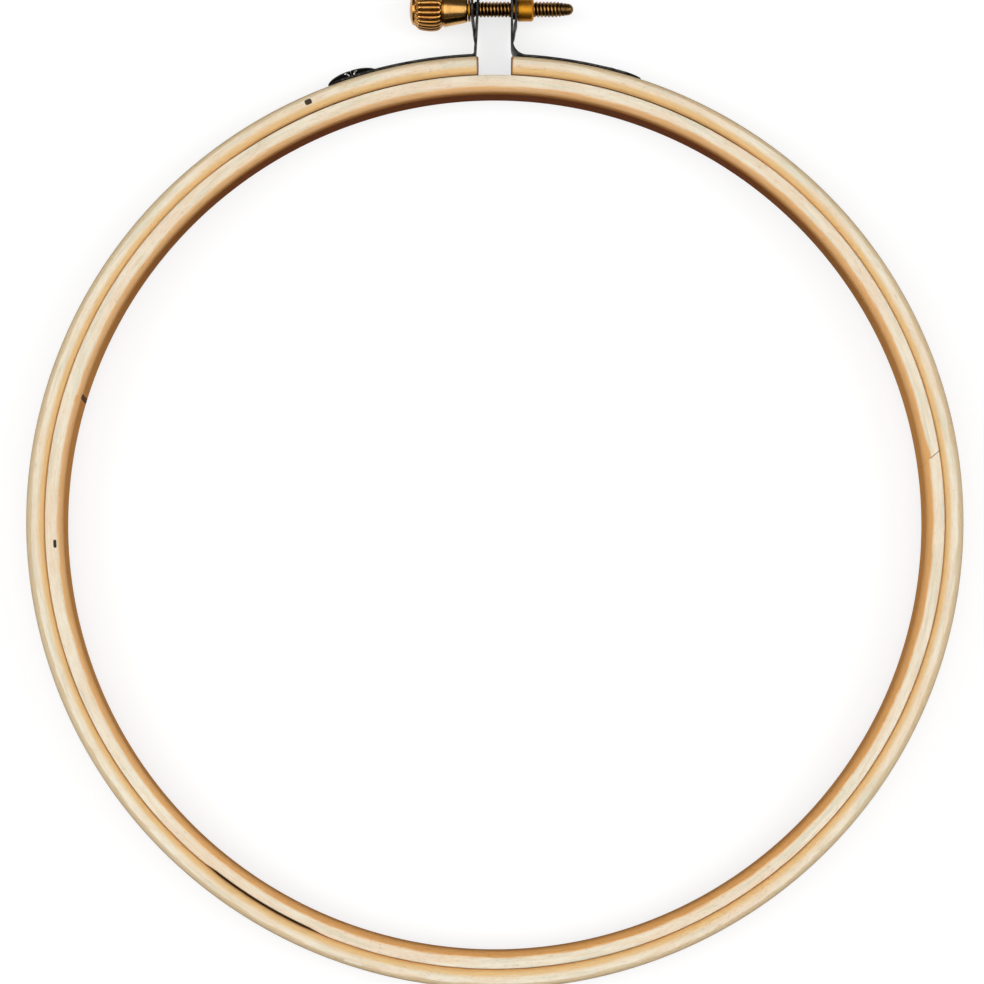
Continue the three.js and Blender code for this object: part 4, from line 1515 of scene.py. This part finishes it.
class HOOP_OT_brackets(bpy.types.Operator):
    """Fold the two steel straps with their ears"""

    bl_idname = "hoop.brackets"
    bl_label = "Straps and ears"

    def execute(self, context):
        brackets()
        return {"FINISHED"}


class HOOP_OT_rivets(bpy.types.Operator):
    """Set the two split rivets, with their prongs bent down on the straps"""

    bl_idname = "hoop.rivets"
    bl_label = "Split rivets"

    def execute(self, context):
        fasteners("rivet", rivet_mesh, rivet_degrees)
        return {"FINISHED"}


class HOOP_OT_tacks(bpy.types.Operator):
    """Set the two tacks beside the ears"""

    bl_idname = "hoop.tacks"
    bl_label = "Tacks"

    def execute(self, context):
        fasteners("tack", lambda strap, clamp: tack_mesh(clamp), tack_degrees)
        return {"FINISHED"}


class HOOP_OT_thumbscrew(bpy.types.Operator):
    """Turn the thumbscrew, with its fluted knob, neck and threaded shank"""

    bl_idname = "hoop.thumbscrew"
    bl_label = "Thumbscrew"

    def execute(self, context):
        thumbscrew()
        return {"FINISHED"}


class HOOP_OT_washer_and_nut(bpy.types.Operator):
    """Turn the washer and the round nut"""

    bl_idname = "hoop.washer_and_nut"
    bl_label = "Washer and nut"

    def execute(self, context):
        screw = settings("hoop_screw")
        material = brass_material("nut_brass", screw.nut_brass, screw, satin=0.4)
        washer(screw, material)
        barrel_nut(screw, material)
        return {"FINISHED"}


class HOOP_OT_stage(bpy.types.Operator):
    """Set up the floor, the light and the camera"""

    bl_idname = "hoop.stage"
    bl_label = "Stage"

    def execute(self, context):
        make_stage()
        return {"FINISHED"}


OPERATORS = (
    HOOP_OT_outer_ring,
    HOOP_OT_inner_ring,
    HOOP_OT_brackets,
    HOOP_OT_rivets,
    HOOP_OT_tacks,
    HOOP_OT_thumbscrew,
    HOOP_OT_washer_and_nut,
    HOOP_OT_stage,
)
GROUPS = {
    "hoop_wood": HoopWood,
    "hoop_clamp": HoopClamp,
    "hoop_screw": HoopScrew,
    "hoop_stage": HoopStage,
}


class HOOP_PT_panel(bpy.types.Panel):
    """Lists the hoop's settings and the operators that make its pieces"""

    bl_idname = "HOOP_PT_panel"
    bl_label = "Embroidery hoop"
    bl_space_type = "VIEW_3D"
    bl_region_type = "UI"
    bl_category = "Hoop"

    def draw(self, context):
        for name, group in GROUPS.items():
            box = self.layout.box()
            for setting in group.__annotations__:
                box.prop(settings(name), setting)
        for operator in OPERATORS:
            self.layout.operator(operator.bl_idname)


CLASSES = (*GROUPS.values(), *OPERATORS, HOOP_PT_panel)


def register():
    for cls in CLASSES:
        bpy.utils.register_class(cls)
    for name, group in GROUPS.items():
        setattr(bpy.types.Scene, name, bpy.props.PointerProperty(type=group))


def unregister():
    for name in GROUPS:
        delattr(bpy.types.Scene, name)
    for cls in reversed(CLASSES):
        bpy.utils.unregister_class(cls)


def main():
    register()
    bpy.ops.hoop.outer_ring()
    bpy.ops.hoop.inner_ring()
    bpy.ops.hoop.brackets()
    bpy.ops.hoop.rivets()
    bpy.ops.hoop.tacks()
    bpy.ops.hoop.thumbscrew()
    bpy.ops.hoop.washer_and_nut()
    bpy.ops.hoop.stage()


if __name__ == "__main__":
    main()
